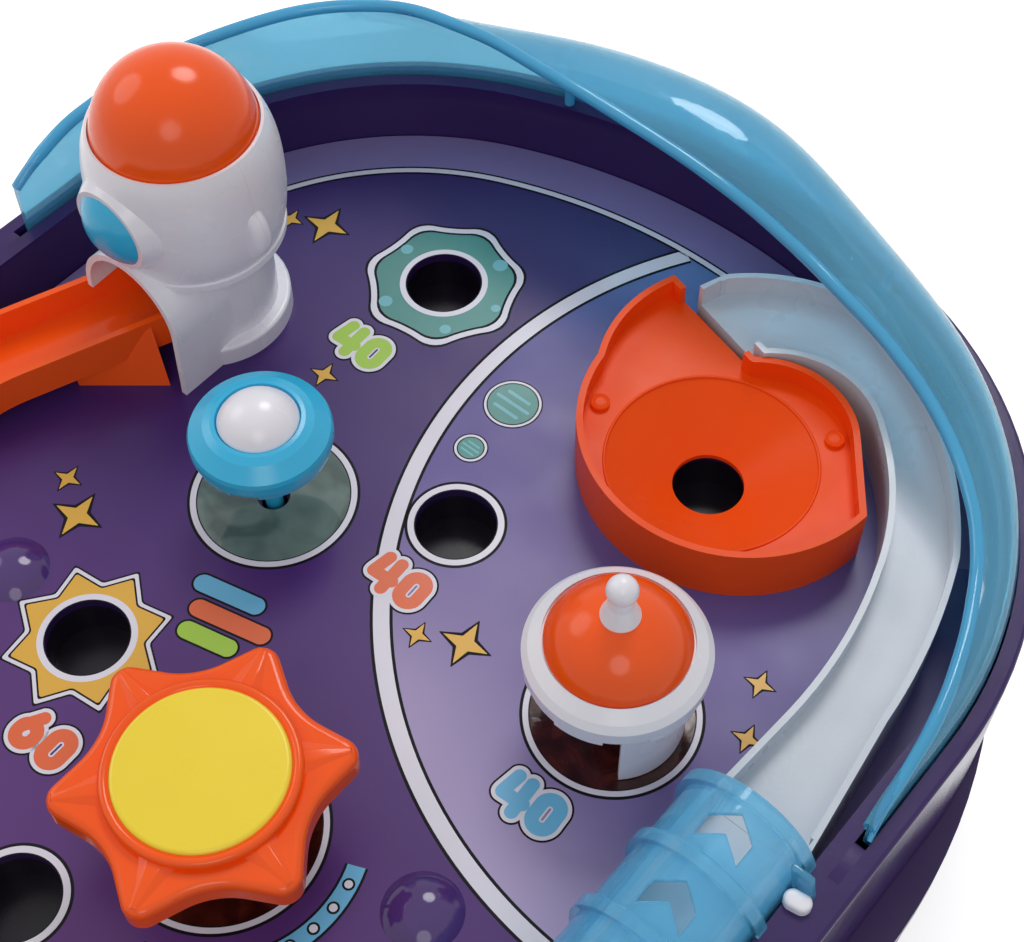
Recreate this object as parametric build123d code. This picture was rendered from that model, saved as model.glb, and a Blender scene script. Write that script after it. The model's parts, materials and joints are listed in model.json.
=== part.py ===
from build123d import *
import math
import os

# Electronic tabletop pinball game, in millimetres.
# Everything is drawn in the deck's own frame: Z is 0 on the deck's top face, Y runs from the player
# (negative) to the rear arch (0), and X is 0 on the centre line. The last section tilts the whole game
# by the playfield's slope and sets it down, so that the finished model stands on Z = 0.

# Playfield outline
DECK_HALF_WIDTH = 149.4
ARCH_RADIUS = 200.2
SHOULDER_RADIUS = 117.3
DECK_FRONT = -440.0
FRONT_CORNER = 30.0
DECK_THICKNESS = 3.0
PLAYFIELD_SLOPE = 5.0
CLEARANCE = 0.3
FACE_GAP = 0.05

# Upper housing
RIM_HEIGHT = 23.0
RIM_WIDTH = 12.4
RIM_WALL = 2.4
RIM_SKIRT = 22.0
VISOR_SLOT_OFFSET = 6.0
SLOT_REACH = 172.0
SLOT_GAP = 0.6
RIM_ROUND = 1.2
POST_RADIUS = 4.1
POST_TOP = 15.0
BUSHING_RADIUS = 5.0
BUSHING_FLANGE = 9.0
SPOT_DEPTH = 3.4
RIM_SCREWS = [30, 66]
SIDE_SCREWS = [-200.0, -315.0]
FRONT_SCREW_X = 80.0

# Lower housing
BELLY_WALL = 2.6
BELLY_STEP = 1.6
BELLY_HALF_WIDTH = 171.0
BELLY_CORNER = 52.0
GROOVE = 2.2
LEDGE_THICKNESS = 6.0
FRONT_DEPTH = 42.0
FOOT_HEIGHT = 4.0
FOOT_RADIUS = 9.0
TONGUE_WIDTH = 4.0
BOSS_RADIUS = 3.4
DOOR_LIP = 1.4
BOARD_Y = -270.0
BOARD_Z = 14.0
BOARD_POSTS = [(x, y) for x in (-50, 50) for y in (-20, 20)]
FEET = [(-105, -60), (105, -60), (-120, -410), (120, -410)]

# Visor
VISOR_WALL = 2.0
VISOR_DEPTH = 5.0
VISOR_BEAD = 1.7
VISOR_CURL = 20.0
VISOR_STATIONS = [
    (-249.6, 5.4, 40.0), (-238, 5.4, 46.0), (-219, 5.4, 50.0), (-170, 5.3, 52.0), (-123, 3.5, 53.0),
    (-92, -8.5, 55.0), (-61, -20.0, 56.0), (-30, -26.0, 55.0), (14, -28.0, 52.0), (45, -25.0, 46.0),
    (70, -23.0, 43.0), (96, -19.0, 40.0), (123, -13.0, 36.0), (146, -8.0, 33.0), (163, -5.0, 31.0),
    (181, -3.0, 30.0), (200, -0.5, 30.0), (217, 2.5, 29.5), (235, 4.5, 28.0), (250, 5.4, 26.0),
]

# Scoring holes: place of each and size of its well
HOLE_RADIUS = 11.85
CUP_DEPTH = 13.0
CUP_WALL = 1.8
HOLES = [(-55.5, -76.3), (8.0, -142.6), (-45.4, -236.4), (-2.7, -299.1)]
PILOT_HOLE = (-65.0, -17.3)
PILOT_RADIUS = 2.2

# Clear dome lenses over the lamps
LENS_X = 78.5
LENS_Y = -235.3
LENS_RADIUS = 10.8
LENS_RISE = 4.6

# Launch lane: channel under the clear tube, and the curved track behind it
LANE_X = DECK_HALF_WIDTH - 17.4
LANE_HALF_WIDTH = 13.1
LANE_WALL = 1.8
LANE_FLOOR = 1.5
LANE_SIDE = 12.0
LANE_REAR = -171.5
RAMP_START = -290.0
RAMP_TOP = -190.0
TRACK_FLOOR = 14.0
TRACK_TOP = 21.5

# Clear tube over the lane
TUBE_X = LANE_X - 1.0
TUBE_RADIUS = 18.2
TUBE_WALL = 1.6
TUBE_AXIS_Z = 17.5
TUBE_SECTION = 22.0
TUBE_SECTIONS = 7
TUBE_RIB = 1.9
TUBE_RIB_LENGTH = 3.6

# Funnel
FUNNEL_X = 55.8
FUNNEL_Y = -85.6
CONE_RADIUS = 30.8
FUNNEL_HOLE = 10.5
FUNNEL_WALL = 2.0
FUNNEL_HEIGHT = 20.0
FUNNEL_SCREWS = [(18.5, -90.0), (78.6, -57.0)]
FUNNEL_SHELF = 13.0

# Rocket tower: its swelling body is given by radius and height, from the seam over the leg to the rim
ROCKET_X = -105.0
ROCKET_Y = -129.5
ROCKET_LEG_RADIUS = 21.0
ROCKET_BODY_RADIUS = 28.8
ROCKET_SWELL = [(26.4, 39.4), (28.2, 48.0), (28.8, 59.0), (28.0, 70.0), (25.2, 79.0)]
SEAM_LIP = 0.7
SEAM_HEIGHT = 2.2
ROCKET_TOP = 79.0
ROCKET_WALL = 2.0
ROCKET_FLOOR = 12.6
ROCKET_BASE_RADIUS = 24.8
ROCKET_BASE_HEIGHT = 7.0
BASE_END = -15.0
NOSE_RADIUS = 24.0
NOSE_RISE = 22.0
NOSE_SINK = 2.5
DOOR_HALF_WIDTH = 17.5
DOOR_HEIGHT = 41.5
HOOD_REACH = 30.6
HOOD_LEAN = 2.6
WINDOW_RADIUS = 11.5
WINDOW_Z = 58.5
WINDOW_FACE = 29.4
WINDOW_BOSS = 7.0
FIN_TOP = 64.5
FIN_FOOT = 41.5
FIN_REACH = 32.0
FIN_WIDTH = 6.5

# Chute from the rocket's door, in a frame turned towards the middle of the deck
CHUTE_X = -98.0
CHUTE_Y = -133.0
CHUTE_TURN = 23.5
CHUTE_START = 17.5
CHUTE_HALF_WIDTH = 13.4
CHUTE_SHIFT = -4.5
CHUTE_WALL = 2.0
CHUTE_FLOOR = 12.0
CHUTE_SIDE = 10.0
CHUTE_CORNER = 76.0
CHUTE_BEND = 60.0
CHUTE_FALL = 3.0
CHUTE_TAIL = 34.0
CHUTE_KNEE = [
    (23.0, [(-10.0, 0.0), (16.5, 0.0), (9.3, 20.0), (-10.0, 8.0)]),
    (48.0, [(-10.0, 0.0), (4.0, 0.0), (4.0, 6.0), (-10.0, 6.0)]),
]

# Bumpers
MUSHROOM = (-39.2, -169.4)
SAUCER = (80.4, -161.2)
SUN = (23.6, -252.3)
PLATE_RADIUS = 22.3
SUN_PLATE_RADIUS = 26.3
BUMPER_TILT = 4.0
PLATE_THICKNESS = 1.2
STEM_RADIUS = 2.6
STEM_HOLE = 4.8
PIVOT_DEPTH = 11.0
SOCKET_BORE = 3.8
MUSHROOM_RADIUS = 20.3
MUSHROOM_LOW = 26.8
STAR_POINTS = 6
STAR_TIP = 41.0
STAR_VALLEY = 28.0
STAR_TURN = -10.0
STAR_LOW = 25.0
STAR_HIGH = 32.5
SUN_FACE_RADIUS = 22.3
SPINDLE_RADIUS = 2.5
SAUCER_RADIUS = 24.5
SAUCER_LOW = 29.0
SAUCER_WALL_RADIUS = 19.6
SAUCER_DOME_RADIUS = 19.0
SAUCER_SEAT = 39.5
SAUCER_NOTCHES = 6
NOTCH_ANGLE = 28.0
SAUCER_OPEN = (-47.0, 150.0)

# Flippers
FLIPPER_MIDDLE = -16.0
FLIPPER_SPREAD = 50.0
FLIPPER_Y = -362.0
FLIPPER_LENGTH = 40.0
FLIPPER_REST = 25.0
FLIPPER_HEIGHT = 13.0
FLIPPER_SHAFT = 3.0
FLIPPER_ROOT = 7.0
FLIPPER_TIP = 4.0
RUBBER = 1.6
PIN_RADIUS = 1.3
PIN_GAP = 0.15

# Side buttons that push the flippers round
BUTTON_RADIUS = 7.0
BUTTON_TRAVEL = 5.3
BUTTON_PROUD = 7.0
BUTTON_Z = -11.0
BAR_HALF_WIDTH = 3.2
FLIPPER_SWING = 42.0
PUSH_BAR = 3.0

# Plunger and ball
BALL_RADIUS = 8.0
PLUNGER_TIP_Y = -358.0
PLUNGER_ROD = 3.0
PLUNGER_PULL = 22.0
BALL_TRAVEL = 50.0
KNOB_RADIUS = 10.0
KNOB_LENGTH = 17.0
KNOB_GAP = 12.0
SPRING_WIRE = 0.6
SPRING_RADIUS = 5.0
SPRING_TURNS = 9

# Console across the front
CONSOLE_REAR = -402.0
CONSOLE_HEIGHT = 25.0
CONSOLE_WALL = 2.2
DISPLAY_WIDTH = 58.0
DISPLAY_DEPTH = 17.0
DISPLAY_Y = -421.0
SWITCH_X = 62.0
START_X = 86.0
SPEAKER_X = -92.0
CONTROL_Y = -421.0
SWITCH_TRAVEL = 5.0
START_TRAVEL = 2.0
START_RADIUS = 6.0

# Batteries in the belly
CELL_RADIUS = 7.1
CELL_LENGTH = 50.0
CELLS = 3
BAY_Y = -140.0
DOOR_THICKNESS = 2.4

# Screws
SCREW_RADIUS = 1.25
SCREW_HEAD = 2.5
SCREW_HEAD_HEIGHT = 1.8


# Frames and outlines

ARCH_CENTRE = Vector(0, -ARCH_RADIUS)
SHOULDER_X = DECK_HALF_WIDTH - SHOULDER_RADIUS
SHOULDER_Y = -ARCH_RADIUS + math.sqrt((ARCH_RADIUS - SHOULDER_RADIUS) ** 2 - SHOULDER_X**2)
JOIN_ANGLE = math.degrees(math.atan2(SHOULDER_Y + ARCH_RADIUS, SHOULDER_X))
BODY_FRONT = DECK_FRONT - RIM_WIDTH
SLOPE = math.radians(PLAYFIELD_SLOPE)
LIFT = FOOT_HEIGHT + FRONT_DEPTH * math.cos(SLOPE) - BODY_FRONT * math.sin(SLOPE)


def turned(x, y, radius, degrees):
    """A point at a radius and an angle from +X about a centre."""
    return (x + radius * math.cos(math.radians(degrees)), y + radius * math.sin(math.radians(degrees)))


def on_rim(station, offset):
    """A point beside the deck's edge, offset outwards.
    station is degrees from the rear for the arch and shoulders, or ("side", sign, y) for the sides."""
    if isinstance(station, tuple):
        return (station[1] * (DECK_HALF_WIDTH + offset), station[2])
    side = 1 if station > 0 else -1
    if abs(station) <= 90 - JOIN_ANGLE:
        return turned(0, -ARCH_RADIUS, ARCH_RADIUS + offset, 90 - station)
    return turned(side * SHOULDER_X, SHOULDER_Y, SHOULDER_RADIUS + offset, 90 - station)


def outline(offset):
    """The closed outline of the deck, offset outwards, as a face on Z = 0."""
    corner = FRONT_CORNER + offset
    wide = DECK_HALF_WIDTH + offset
    front = DECK_FRONT - offset
    join = 90 - JOIN_ANGLE
    right = [
        ThreePointArc(on_rim(join, offset), on_rim((join + 90) / 2, offset), (wide, SHOULDER_Y)),
        Line((wide, SHOULDER_Y), (wide, front + corner)),
        ThreePointArc(
            (wide, front + corner), turned(wide - corner, front + corner, corner, -45), (wide - corner, front)
        ),
    ]
    edges = [ThreePointArc(on_rim(-join, offset), (0, offset), on_rim(join, offset))]
    edges += right
    edges.append(Line((wide - corner, front), (corner - wide, front)))
    edges += [edge.mirror(Plane.YZ) for edge in reversed(right)]
    return make_face(edges)


def belly_outline(inset):
    """The lower housing's outline: as the rim at the rear, flaring to a wider step along both sides."""
    rim = RIM_WIDTH - 1.2 - inset
    start = on_rim(68, rim)
    wide = BELLY_HALF_WIDTH - inset
    corner = BELLY_CORNER - inset
    turn = (wide - corner, BODY_FRONT + inset + corner)
    wing = [
        ThreePointArc(on_rim(90 - JOIN_ANGLE, rim), on_rim(48, rim), start),
        ThreePointArc(start, (wide - 3.4, -121), (wide, -170)),
        Line((wide, -170), (wide, turn[1])),
        ThreePointArc((wide, turn[1]), turned(*turn, corner, -45), (turn[0], BODY_FRONT + inset)),
    ]
    edges = [ThreePointArc(on_rim(JOIN_ANGLE - 90, rim), (0, rim), on_rim(90 - JOIN_ANGLE, rim))]
    edges += wing
    edges.append(Line((turn[0], BODY_FRONT + inset), (-turn[0], BODY_FRONT + inset)))
    edges += [edge.mirror(Plane.YZ) for edge in reversed(wing)]
    return make_face(edges)


def prism(face, low, high):
    """A flat face on Z = 0 drawn out between two heights."""
    return extrude(Pos(0, 0, low) * face, high - low)


def tube(x, y, outer, inner, low, high):
    """An upright tube."""
    height = high - low
    ring = Cylinder(outer, height) - Cylinder(inner, height + 1)
    return Pos(x, y, (low + high) / 2) * ring


def disc(x, y, radius, low, high):
    """An upright cylinder."""
    return Pos(x, y, (low + high) / 2) * Cylinder(radius, high - low)


def block(x0, x1, y0, y1, z0, z1):
    """A box between two corners."""
    return Pos((x0 + x1) / 2, (y0 + y1) / 2, (z0 + z1) / 2) * Box(x1 - x0, y1 - y0, z1 - z0)


def turned_profile(points):
    """A solid turned about Z from (radius, height) points, straight between them."""
    return revolve(make_face(Polyline([(r, 0, z) for r, z in points], close=True).edges()), Axis.Z)


def to_row(shape):
    """From the deck's frame to the level frame, before the model is centred."""
    return Pos(0, 0, LIFT) * Rot(PLAYFIELD_SLOPE, 0, 0) * shape


def from_row(shape):
    """The other way, for what is square to the ground."""
    return Rot(-PLAYFIELD_SLOPE, 0, 0) * Pos(0, 0, -LIFT) * shape


def above_ground(height):
    """All the space over a level plane, as a box in the deck's frame."""
    return from_row(Pos(0, -220, height + 150) * Box(600, 800, 300))


# Playfield deck with every hole through it

def deck():
    plate = prism(outline(-CLEARANCE), -DECK_THICKNESS, 0)
    for x, y in HOLES:
        plate -= disc(x, y, HOLE_RADIUS, -10, 1)
    plate -= disc(FUNNEL_X, FUNNEL_Y, HOLE_RADIUS, -10, 1)
    plate -= disc(*PILOT_HOLE, PILOT_RADIUS, -10, 1)
    for side in (-1, 1):
        plate -= disc(side * LENS_X, LENS_Y, LENS_RADIUS - 2, -10, 1)
    for place, radius in ((MUSHROOM, PLATE_RADIUS), (SAUCER, PLATE_RADIUS), (SUN, SUN_PLATE_RADIUS)):
        plate -= disc(*place, radius + CLEARANCE, -PLATE_THICKNESS, 1)
        plate -= disc(*place, STEM_HOLE, -10, 1)
    for place in (MUSHROOM, SUN):
        plate += bumper_socket(*place)
    for x in flipper_pivots():
        plate += disc(x, FLIPPER_Y, FLIPPER_SHAFT + 3, -DECK_THICKNESS - 3, -1)
        plate -= disc(x, FLIPPER_Y, FLIPPER_SHAFT + FACE_GAP, -10, 1)
    for x, y in FUNNEL_SCREWS:
        plate -= disc(x, y, SCREW_RADIUS, -10, 1)
    plate -= drain_box(0, -10, 1)
    return plate


def drain_box(grow, low, high):
    """The slot behind the flippers that lets a lost ball down."""
    return block(
        FLIPPER_MIDDLE - 34 - grow, FLIPPER_MIDDLE + 34 + grow,
        CONSOLE_REAR + 3 - grow, CONSOLE_REAR + 25 + grow, low, high,
    )


def flipper_pivots():
    return (FLIPPER_MIDDLE - FLIPPER_SPREAD, FLIPPER_MIDDLE + FLIPPER_SPREAD)


def drain_tray():
    gap = CLEARANCE
    floor = -DECK_THICKNESS - 14
    tray = drain_box(CUP_WALL + gap, floor - CUP_WALL, -DECK_THICKNESS)
    return tray - drain_box(gap, floor, 0)


def ball_cup(x, y):
    """A round well under a hole: collar, wall and closed floor."""
    low = -DECK_THICKNESS - CUP_DEPTH
    cup = disc(x, y, HOLE_RADIUS + CUP_WALL, low, -DECK_THICKNESS)
    cup += disc(x, y, HOLE_RADIUS + CUP_WALL + 2.5, -DECK_THICKNESS - 1.6, -DECK_THICKNESS)
    return cup - disc(x, y, HOLE_RADIUS, low + CUP_WALL, 0)


def lamp_lens(side):
    """A shallow dome with a flange under it, over the lamp hole."""
    sphere_radius = (LENS_RADIUS**2 + LENS_RISE**2) / (2 * LENS_RISE)
    dome = Pos(0, 0, LENS_RISE - sphere_radius) * Sphere(sphere_radius)
    dome &= Pos(0, 0, 10) * Box(60, 60, 20)
    dome -= disc(0, 0, LENS_RADIUS - 3.4, -1, 1.6)
    spigot = tube(0, 0, LENS_RADIUS - 2 - FACE_GAP, LENS_RADIUS - 3.4, -4.6, 0)
    return Pos(side * LENS_X, LENS_Y, 0) * (dome + spigot)


# Housings

def upper_housing():
    """The rim: an inverted channel round the deck, slotted for the visor, with a skirt down to the belly."""
    body = prism(outline(RIM_WIDTH), -RIM_SKIRT, RIM_HEIGHT)
    body = fillet(body.faces().sort_by(Axis.Z)[-1].edges(), RIM_ROUND)
    body -= prism(outline(0), -RIM_SKIRT - 1, RIM_HEIGHT + 1)
    hollow = prism(outline(RIM_WIDTH - RIM_WALL), -RIM_SKIRT - 1, RIM_HEIGHT - RIM_WALL)
    hollow -= prism(outline(RIM_WALL), -RIM_SKIRT - 2, RIM_HEIGHT)
    body -= hollow
    shelf = prism(outline(RIM_WALL / 2), -DECK_THICKNESS - 2.4, -DECK_THICKNESS)
    body += shelf - prism(outline(-4), -20, 20)
    for x, y in rim_screws():
        body += disc(x, y, POST_RADIUS, -RIM_SKIRT, POST_TOP) - disc(x, y, SCREW_RADIUS, -RIM_SKIRT - 1, POST_TOP - 3)
    body -= visor_slot()
    for side in (-1, 1):
        body -= button_axis(side) * Cylinder(BUTTON_RADIUS + CLEARANCE, 2 * RIM_WIDTH)
        body -= bar_window(side)
    body -= plunger_axis(BODY_FRONT) * Cylinder(BUSHING_RADIUS, 60)
    body -= plunger_axis(BODY_FRONT - 25 + SPOT_DEPTH) * Cylinder(BUSHING_FLANGE + CLEARANCE, 50)
    return body


def rim_screws():
    """Where the two housings are screwed together, in the middle of the rim's channel."""
    middle = (RIM_WALL + RIM_WIDTH - RIM_WALL) / 2
    places = [on_rim(sign * station, middle) for station in RIM_SCREWS for sign in (-1, 1)]
    places += [on_rim(("side", sign, y), middle) for y in SIDE_SCREWS for sign in (-1, 1)]
    return places + [(sign * FRONT_SCREW_X, DECK_FRONT - middle) for sign in (-1, 1)]


def visor_slot():
    """The groove through the rim's top that takes the visor's foot."""
    half = VISOR_WALL / 2 + SLOT_GAP
    ring = prism(outline(VISOR_SLOT_OFFSET + half), RIM_HEIGHT - RIM_WALL - 1, RIM_HEIGHT + 1)
    ring -= prism(outline(VISOR_SLOT_OFFSET - half), 0, 40)
    return ring & block(-250, 250, -SLOT_REACH, 100, 0, 60)


def plunger_axis(y):
    return Pos(LANE_X, y, plunger_z()) * Rot(90, 0, 0)


def plunger_z():
    return LANE_FLOOR + BALL_RADIUS


def button_axis(side):
    return Pos(side * (DECK_HALF_WIDTH + RIM_WIDTH), button_y(), BUTTON_Z) * Rot(0, 90, 0)


def button_y():
    return FLIPPER_Y - crank_radius() * math.cos(math.radians(FLIPPER_SWING / 2))


def crank_radius():
    """The crank's radius that turns the button's travel into the flipper's swing."""
    return BUTTON_TRAVEL / 2 / math.sin(math.radians(FLIPPER_SWING / 2))


def bar_window(side):
    """The window in the rim's inner wall that the push bar runs through."""
    x = side * DECK_HALF_WIDTH
    half = BAR_HALF_WIDTH + CLEARANCE
    low = BUTTON_Z - PUSH_BAR / 2 - CLEARANCE
    return block(x - 4, x + 4, button_y() - half, button_y() + half, low, low + PUSH_BAR + 2 * CLEARANCE)


def lower_housing():
    """The tub: a ledge and groove under the rim's skirt, walls stepped in, a level floor and the battery bay."""
    ledge = -RIM_SKIRT - GROOVE
    tub = prism(belly_outline(0), ledge - LEDGE_THICKNESS, ledge)
    tub += prism(belly_outline(BELLY_STEP), -140, ledge)
    tub &= above_ground(FOOT_HEIGHT)
    inside = prism(belly_outline(BELLY_STEP + BELLY_WALL), -140, ledge - BELLY_WALL)
    tub -= inside & above_ground(FOOT_HEIGHT + BELLY_WALL)
    tongue = RIM_WIDTH - GROOVE
    tub += prism(outline(tongue), ledge - 1, -RIM_SKIRT - FACE_GAP)
    tub -= prism(outline(tongue - TONGUE_WIDTH), ledge - BELLY_WALL - 1, 0)
    for x, y in rim_screws():
        tub += disc(x, y, BOSS_RADIUS, -120, -RIM_SKIRT - FACE_GAP) & above_ground(FOOT_HEIGHT)
    for x, y in rim_screws():
        tub -= disc(x, y, SCREW_RADIUS + 0.3, -130, 0)
        tub -= disc(x, y, SCREW_HEAD + CLEARANCE, -130, screw_seat())
    for x, y in BOARD_POSTS:
        tub += from_row(disc(x, BOARD_Y + y, 3.5, FOOT_HEIGHT + 1, BOARD_Z))
    tub += from_row(bay(2.0, FOOT_HEIGHT, FOOT_HEIGHT + 2 * CELL_RADIUS + 7))
    tub -= from_row(bay(0, FOOT_HEIGHT - 1, FOOT_HEIGHT + 2 * CELL_RADIUS + 5))
    tub -= from_row(bay(DOOR_LIP, FOOT_HEIGHT - 1, FOOT_HEIGHT + DOOR_THICKNESS))
    return tub


def screw_seat():
    return -RIM_SKIRT - 5.0


def bay(grow, low, high):
    """The battery bay's space, in the level frame."""
    half_width = CELLS * CELL_RADIUS + 1.5 + grow
    half_length = CELL_LENGTH / 2 + 2.5 + grow
    return block(-half_width, half_width, BAY_Y - half_length, BAY_Y + half_length, low, high)


def battery_door():
    door = bay(DOOR_LIP - CLEARANCE, FOOT_HEIGHT, FOOT_HEIGHT + DOOR_THICKNESS - FACE_GAP)
    for i in range(6):
        y = BAY_Y + CELL_LENGTH / 2 - 6 - 3 * i
        door -= block(-9, 9, y - 0.6, y + 0.6, FOOT_HEIGHT - 1, FOOT_HEIGHT + 0.7)
    return from_row(door)


def batteries():
    """Round cells side by side, each with its raised button end."""
    cells = []
    for i in range(CELLS):
        x = (i - (CELLS - 1) / 2) * 2 * (CELL_RADIUS + 0.15)
        turn = Rot(90 if i % 2 else -90, 0, 0)
        cell = Cylinder(CELL_RADIUS, CELL_LENGTH - 1.4) + Pos(0, 0, CELL_LENGTH / 2 - 0.7) * Cylinder(2.7, 2.8)
        cells.append(Pos(x, BAY_Y, FOOT_HEIGHT + DOOR_THICKNESS + FACE_GAP + CELL_RADIUS) * turn * cell)
    return from_row(Compound(children=cells))


def circuit_board():
    board = Pos(0, BOARD_Y, BOARD_Z + 0.8 + FACE_GAP) * Box(112, 52, 1.6)
    for i in range(3):
        board += Pos(-30 + 28 * i, BOARD_Y, BOARD_Z + 2.6) * Box(14, 14, 2.2)
    return from_row(board)


def rubber_feet():
    """Four round pads under the floor."""
    pads = []
    for x, y in FEET:
        pads.append(disc(x, y, FOOT_RADIUS, 0, FOOT_HEIGHT - FACE_GAP))
    return from_row(Compound(children=pads))


def screw(x, y, seat, length):
    """A pan-head screw that points up from its seat when length is positive, down when it is negative."""
    sign = 1 if length > 0 else -1
    low, high = sorted((seat, seat + length))
    shank = disc(x, y, SCREW_RADIUS - FACE_GAP, low, high)
    low, high = sorted((seat, seat - sign * SCREW_HEAD_HEIGHT))
    head = disc(x, y, SCREW_HEAD, low, high)
    head -= block(x - 0.4, x + 0.4, y - 2, y + 2, *sorted((seat - sign * 1.2, seat - sign * 4)))
    return head + shank


def screws():
    """Every screw of the game: those that hold the housings together and the two in the funnel."""
    items = [screw(x, y, screw_seat(), 14) for x, y in rim_screws()]
    items += [screw(x, y, FUNNEL_SHELF - 1.0, -(FUNNEL_SHELF + 4)) for x, y in FUNNEL_SCREWS]
    return Compound(children=items)


# Visor


def visor_section(distance, lip_offset, lip_height):
    """The visor's wall at one distance along the deck's edge: an upright foot, then an arc in to the bead."""
    reach = VISOR_SLOT_OFFSET - lip_offset
    radius = VISOR_CURL
    spring = lip_height - math.sqrt(max(radius**2 - (radius - reach) ** 2, 0))
    if spring < RIM_HEIGHT + 1:
        spring = RIM_HEIGHT + 1
        angle = 2 * math.atan2(reach, lip_height - spring)
        radius = (lip_height - spring) / math.sin(angle)
    else:
        angle = math.acos(1 - reach / radius)
    plane = Plane(origin=(*rim_point(distance, VISOR_SLOT_OFFSET), 0), x_dir=rim_normal(distance), z_dir=rim_tangent(distance))
    half = VISOR_WALL / 2

    def at(r, a):
        return (-radius + r * math.cos(a), spring + r * math.sin(a))

    def notch(r):
        return math.acos((radius**2 + r**2 - VISOR_BEAD**2) / (2 * radius * r))

    inner, outer = radius - half, radius + half
    inner_end, outer_end = angle - notch(inner), angle - notch(outer)
    foot = RIM_HEIGHT - VISOR_DEPTH
    bead = at(radius, angle)
    tip = (bead[0] - VISOR_BEAD * math.sin(angle), bead[1] + VISOR_BEAD * math.cos(angle))
    edges = [
        Line((-half, foot), (-half, spring)),
        ThreePointArc((-half, spring), at(inner, inner_end / 2), at(inner, inner_end)),
        ThreePointArc(at(inner, inner_end), tip, at(outer, outer_end)),
        ThreePointArc(at(outer, outer_end), at(outer, outer_end / 2), (half, spring)),
        Line((half, spring), (half, foot)),
        Line((half, foot), (-half, foot)),
    ]
    return plane * make_face(edges)


def arch_length():
    return ARCH_RADIUS * math.radians(90 - JOIN_ANGLE)


def rim_station(distance):
    """The station on the rim for a distance along the deck's edge from the rear, positive to the right."""
    side = 1 if distance > 0 else -1
    far = abs(distance)
    if far <= arch_length():
        return side * math.degrees(far / ARCH_RADIUS)
    angle = 90 - JOIN_ANGLE + math.degrees((far - arch_length()) / SHOULDER_RADIUS)
    if angle <= 90:
        return side * angle
    return ("side", side, SHOULDER_Y - math.radians(angle - 90) * SHOULDER_RADIUS)


def rim_point(distance, offset):
    return on_rim(rim_station(distance), offset)


def rim_normal(distance):
    inner, outer = rim_point(distance, 0), rim_point(distance, 1)
    return Vector(outer[0] - inner[0], outer[1] - inner[1], 0)


def rim_tangent(distance):
    """Level and square to the normal, so that the section's own Y points up."""
    normal = rim_normal(distance)
    return Vector(normal.Y, -normal.X, 0)


def visor():
    sections = [visor_section(*station) for station in VISOR_STATIONS]
    return loft(sections)


# Funnel, track, lane and tube


def funnel_outline():
    corner, front, left = (102.0, -77.0), (56.0, -119.7), (9.5, -80.0)
    mouth_left, mouth_right = (8.2, -41.4), (45.5, -51.5)
    shoulder = (86.0, -56.4)
    return make_face([
        ThreePointArc(corner, front, left),
        ThreePointArc(left, (4.4, -60.0), mouth_left),
        Line(mouth_left, mouth_right),
        ThreePointArc(mouth_right, (63.8, -44.9), shoulder),
        Line(shoulder, corner),
    ])


def funnel():
    """A tray with a tall wall, open at the mouth, whose floor falls as a cone to the hole."""
    plan = funnel_outline()
    inner = offset(plan, -FUNNEL_WALL)
    low_radius = FUNNEL_HOLE + FUNNEL_WALL
    cone = turned_profile([
        (0, -2), (low_radius, -2), (low_radius, 1), (CONE_RADIUS + 1.2, FUNNEL_SHELF - 1), (0, FUNNEL_SHELF - 1)
    ])
    bowl = turned_profile([
        (0, -3), (FUNNEL_HOLE, -3), (FUNNEL_HOLE, 1.6), (CONE_RADIUS, FUNNEL_SHELF), (CONE_RADIUS, FUNNEL_SHELF + 1),
        (0, FUNNEL_SHELF + 1),
    ])
    place = Pos(FUNNEL_X, FUNNEL_Y, 0)
    body = prism(plan, 0, FUNNEL_HEIGHT)
    body -= prism(inner, FUNNEL_SHELF, FUNNEL_HEIGHT + 1)
    body -= prism(inner, -1, FUNNEL_SHELF - FUNNEL_WALL) - place * cone
    body -= place * bowl
    body -= Pos(29, -44, FUNNEL_SHELF + 10) * Rot(0, 0, -15.2) * Box(30, 16, 20)
    for x, y in FUNNEL_SCREWS:
        body += disc(x, y, 4.0, 0, FUNNEL_SHELF) & prism(plan, 0, FUNNEL_SHELF)
        body -= disc(x, y, SCREW_RADIUS + 0.2, -1, FUNNEL_SHELF + 1)
        body -= disc(x, y, SCREW_HEAD + CLEARANCE, FUNNEL_SHELF - 1.0, FUNNEL_SHELF + 1)
    return body


def track_outline(inset=0.0):
    """The curved track's plan, from the funnel's mouth round the shoulder to the lane."""
    end = LANE_REAR + FACE_GAP
    face = make_face([
        ThreePointArc((47.4, -49.8), (66, -41.6), (88, -50.5)),
        ThreePointArc((88, -50.5), (104.0, -69.5), (LANE_X - 18.0, -92.0)),
        ThreePointArc((LANE_X - 18.0, -92.0), (LANE_X - 12.4, -118), (LANE_X - 11.6, -140)),
        Line((LANE_X - 11.6, -140), (LANE_X - 13.4, end)),
        Line((LANE_X - 13.4, end), (LANE_X + 15.4, end)),
        Line((LANE_X + 15.4, end), (LANE_X + 9.5, -127)),
        ThreePointArc((LANE_X + 9.5, -127), (LANE_X + 5.0, -98), (LANE_X - 3.0, -73)),
        ThreePointArc((LANE_X - 3.0, -73), (104.5, -41.5), (57, -14.2)),
        ThreePointArc((57, -14.2), (38.0, -19.5), (20.5, -32.5)),
        Line((20.5, -32.5), (17.4, -41.0)),
        Line((17.4, -41.0), (47.4, -49.8)),
    ])
    return face if inset == 0 else offset(face, -inset)


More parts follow.
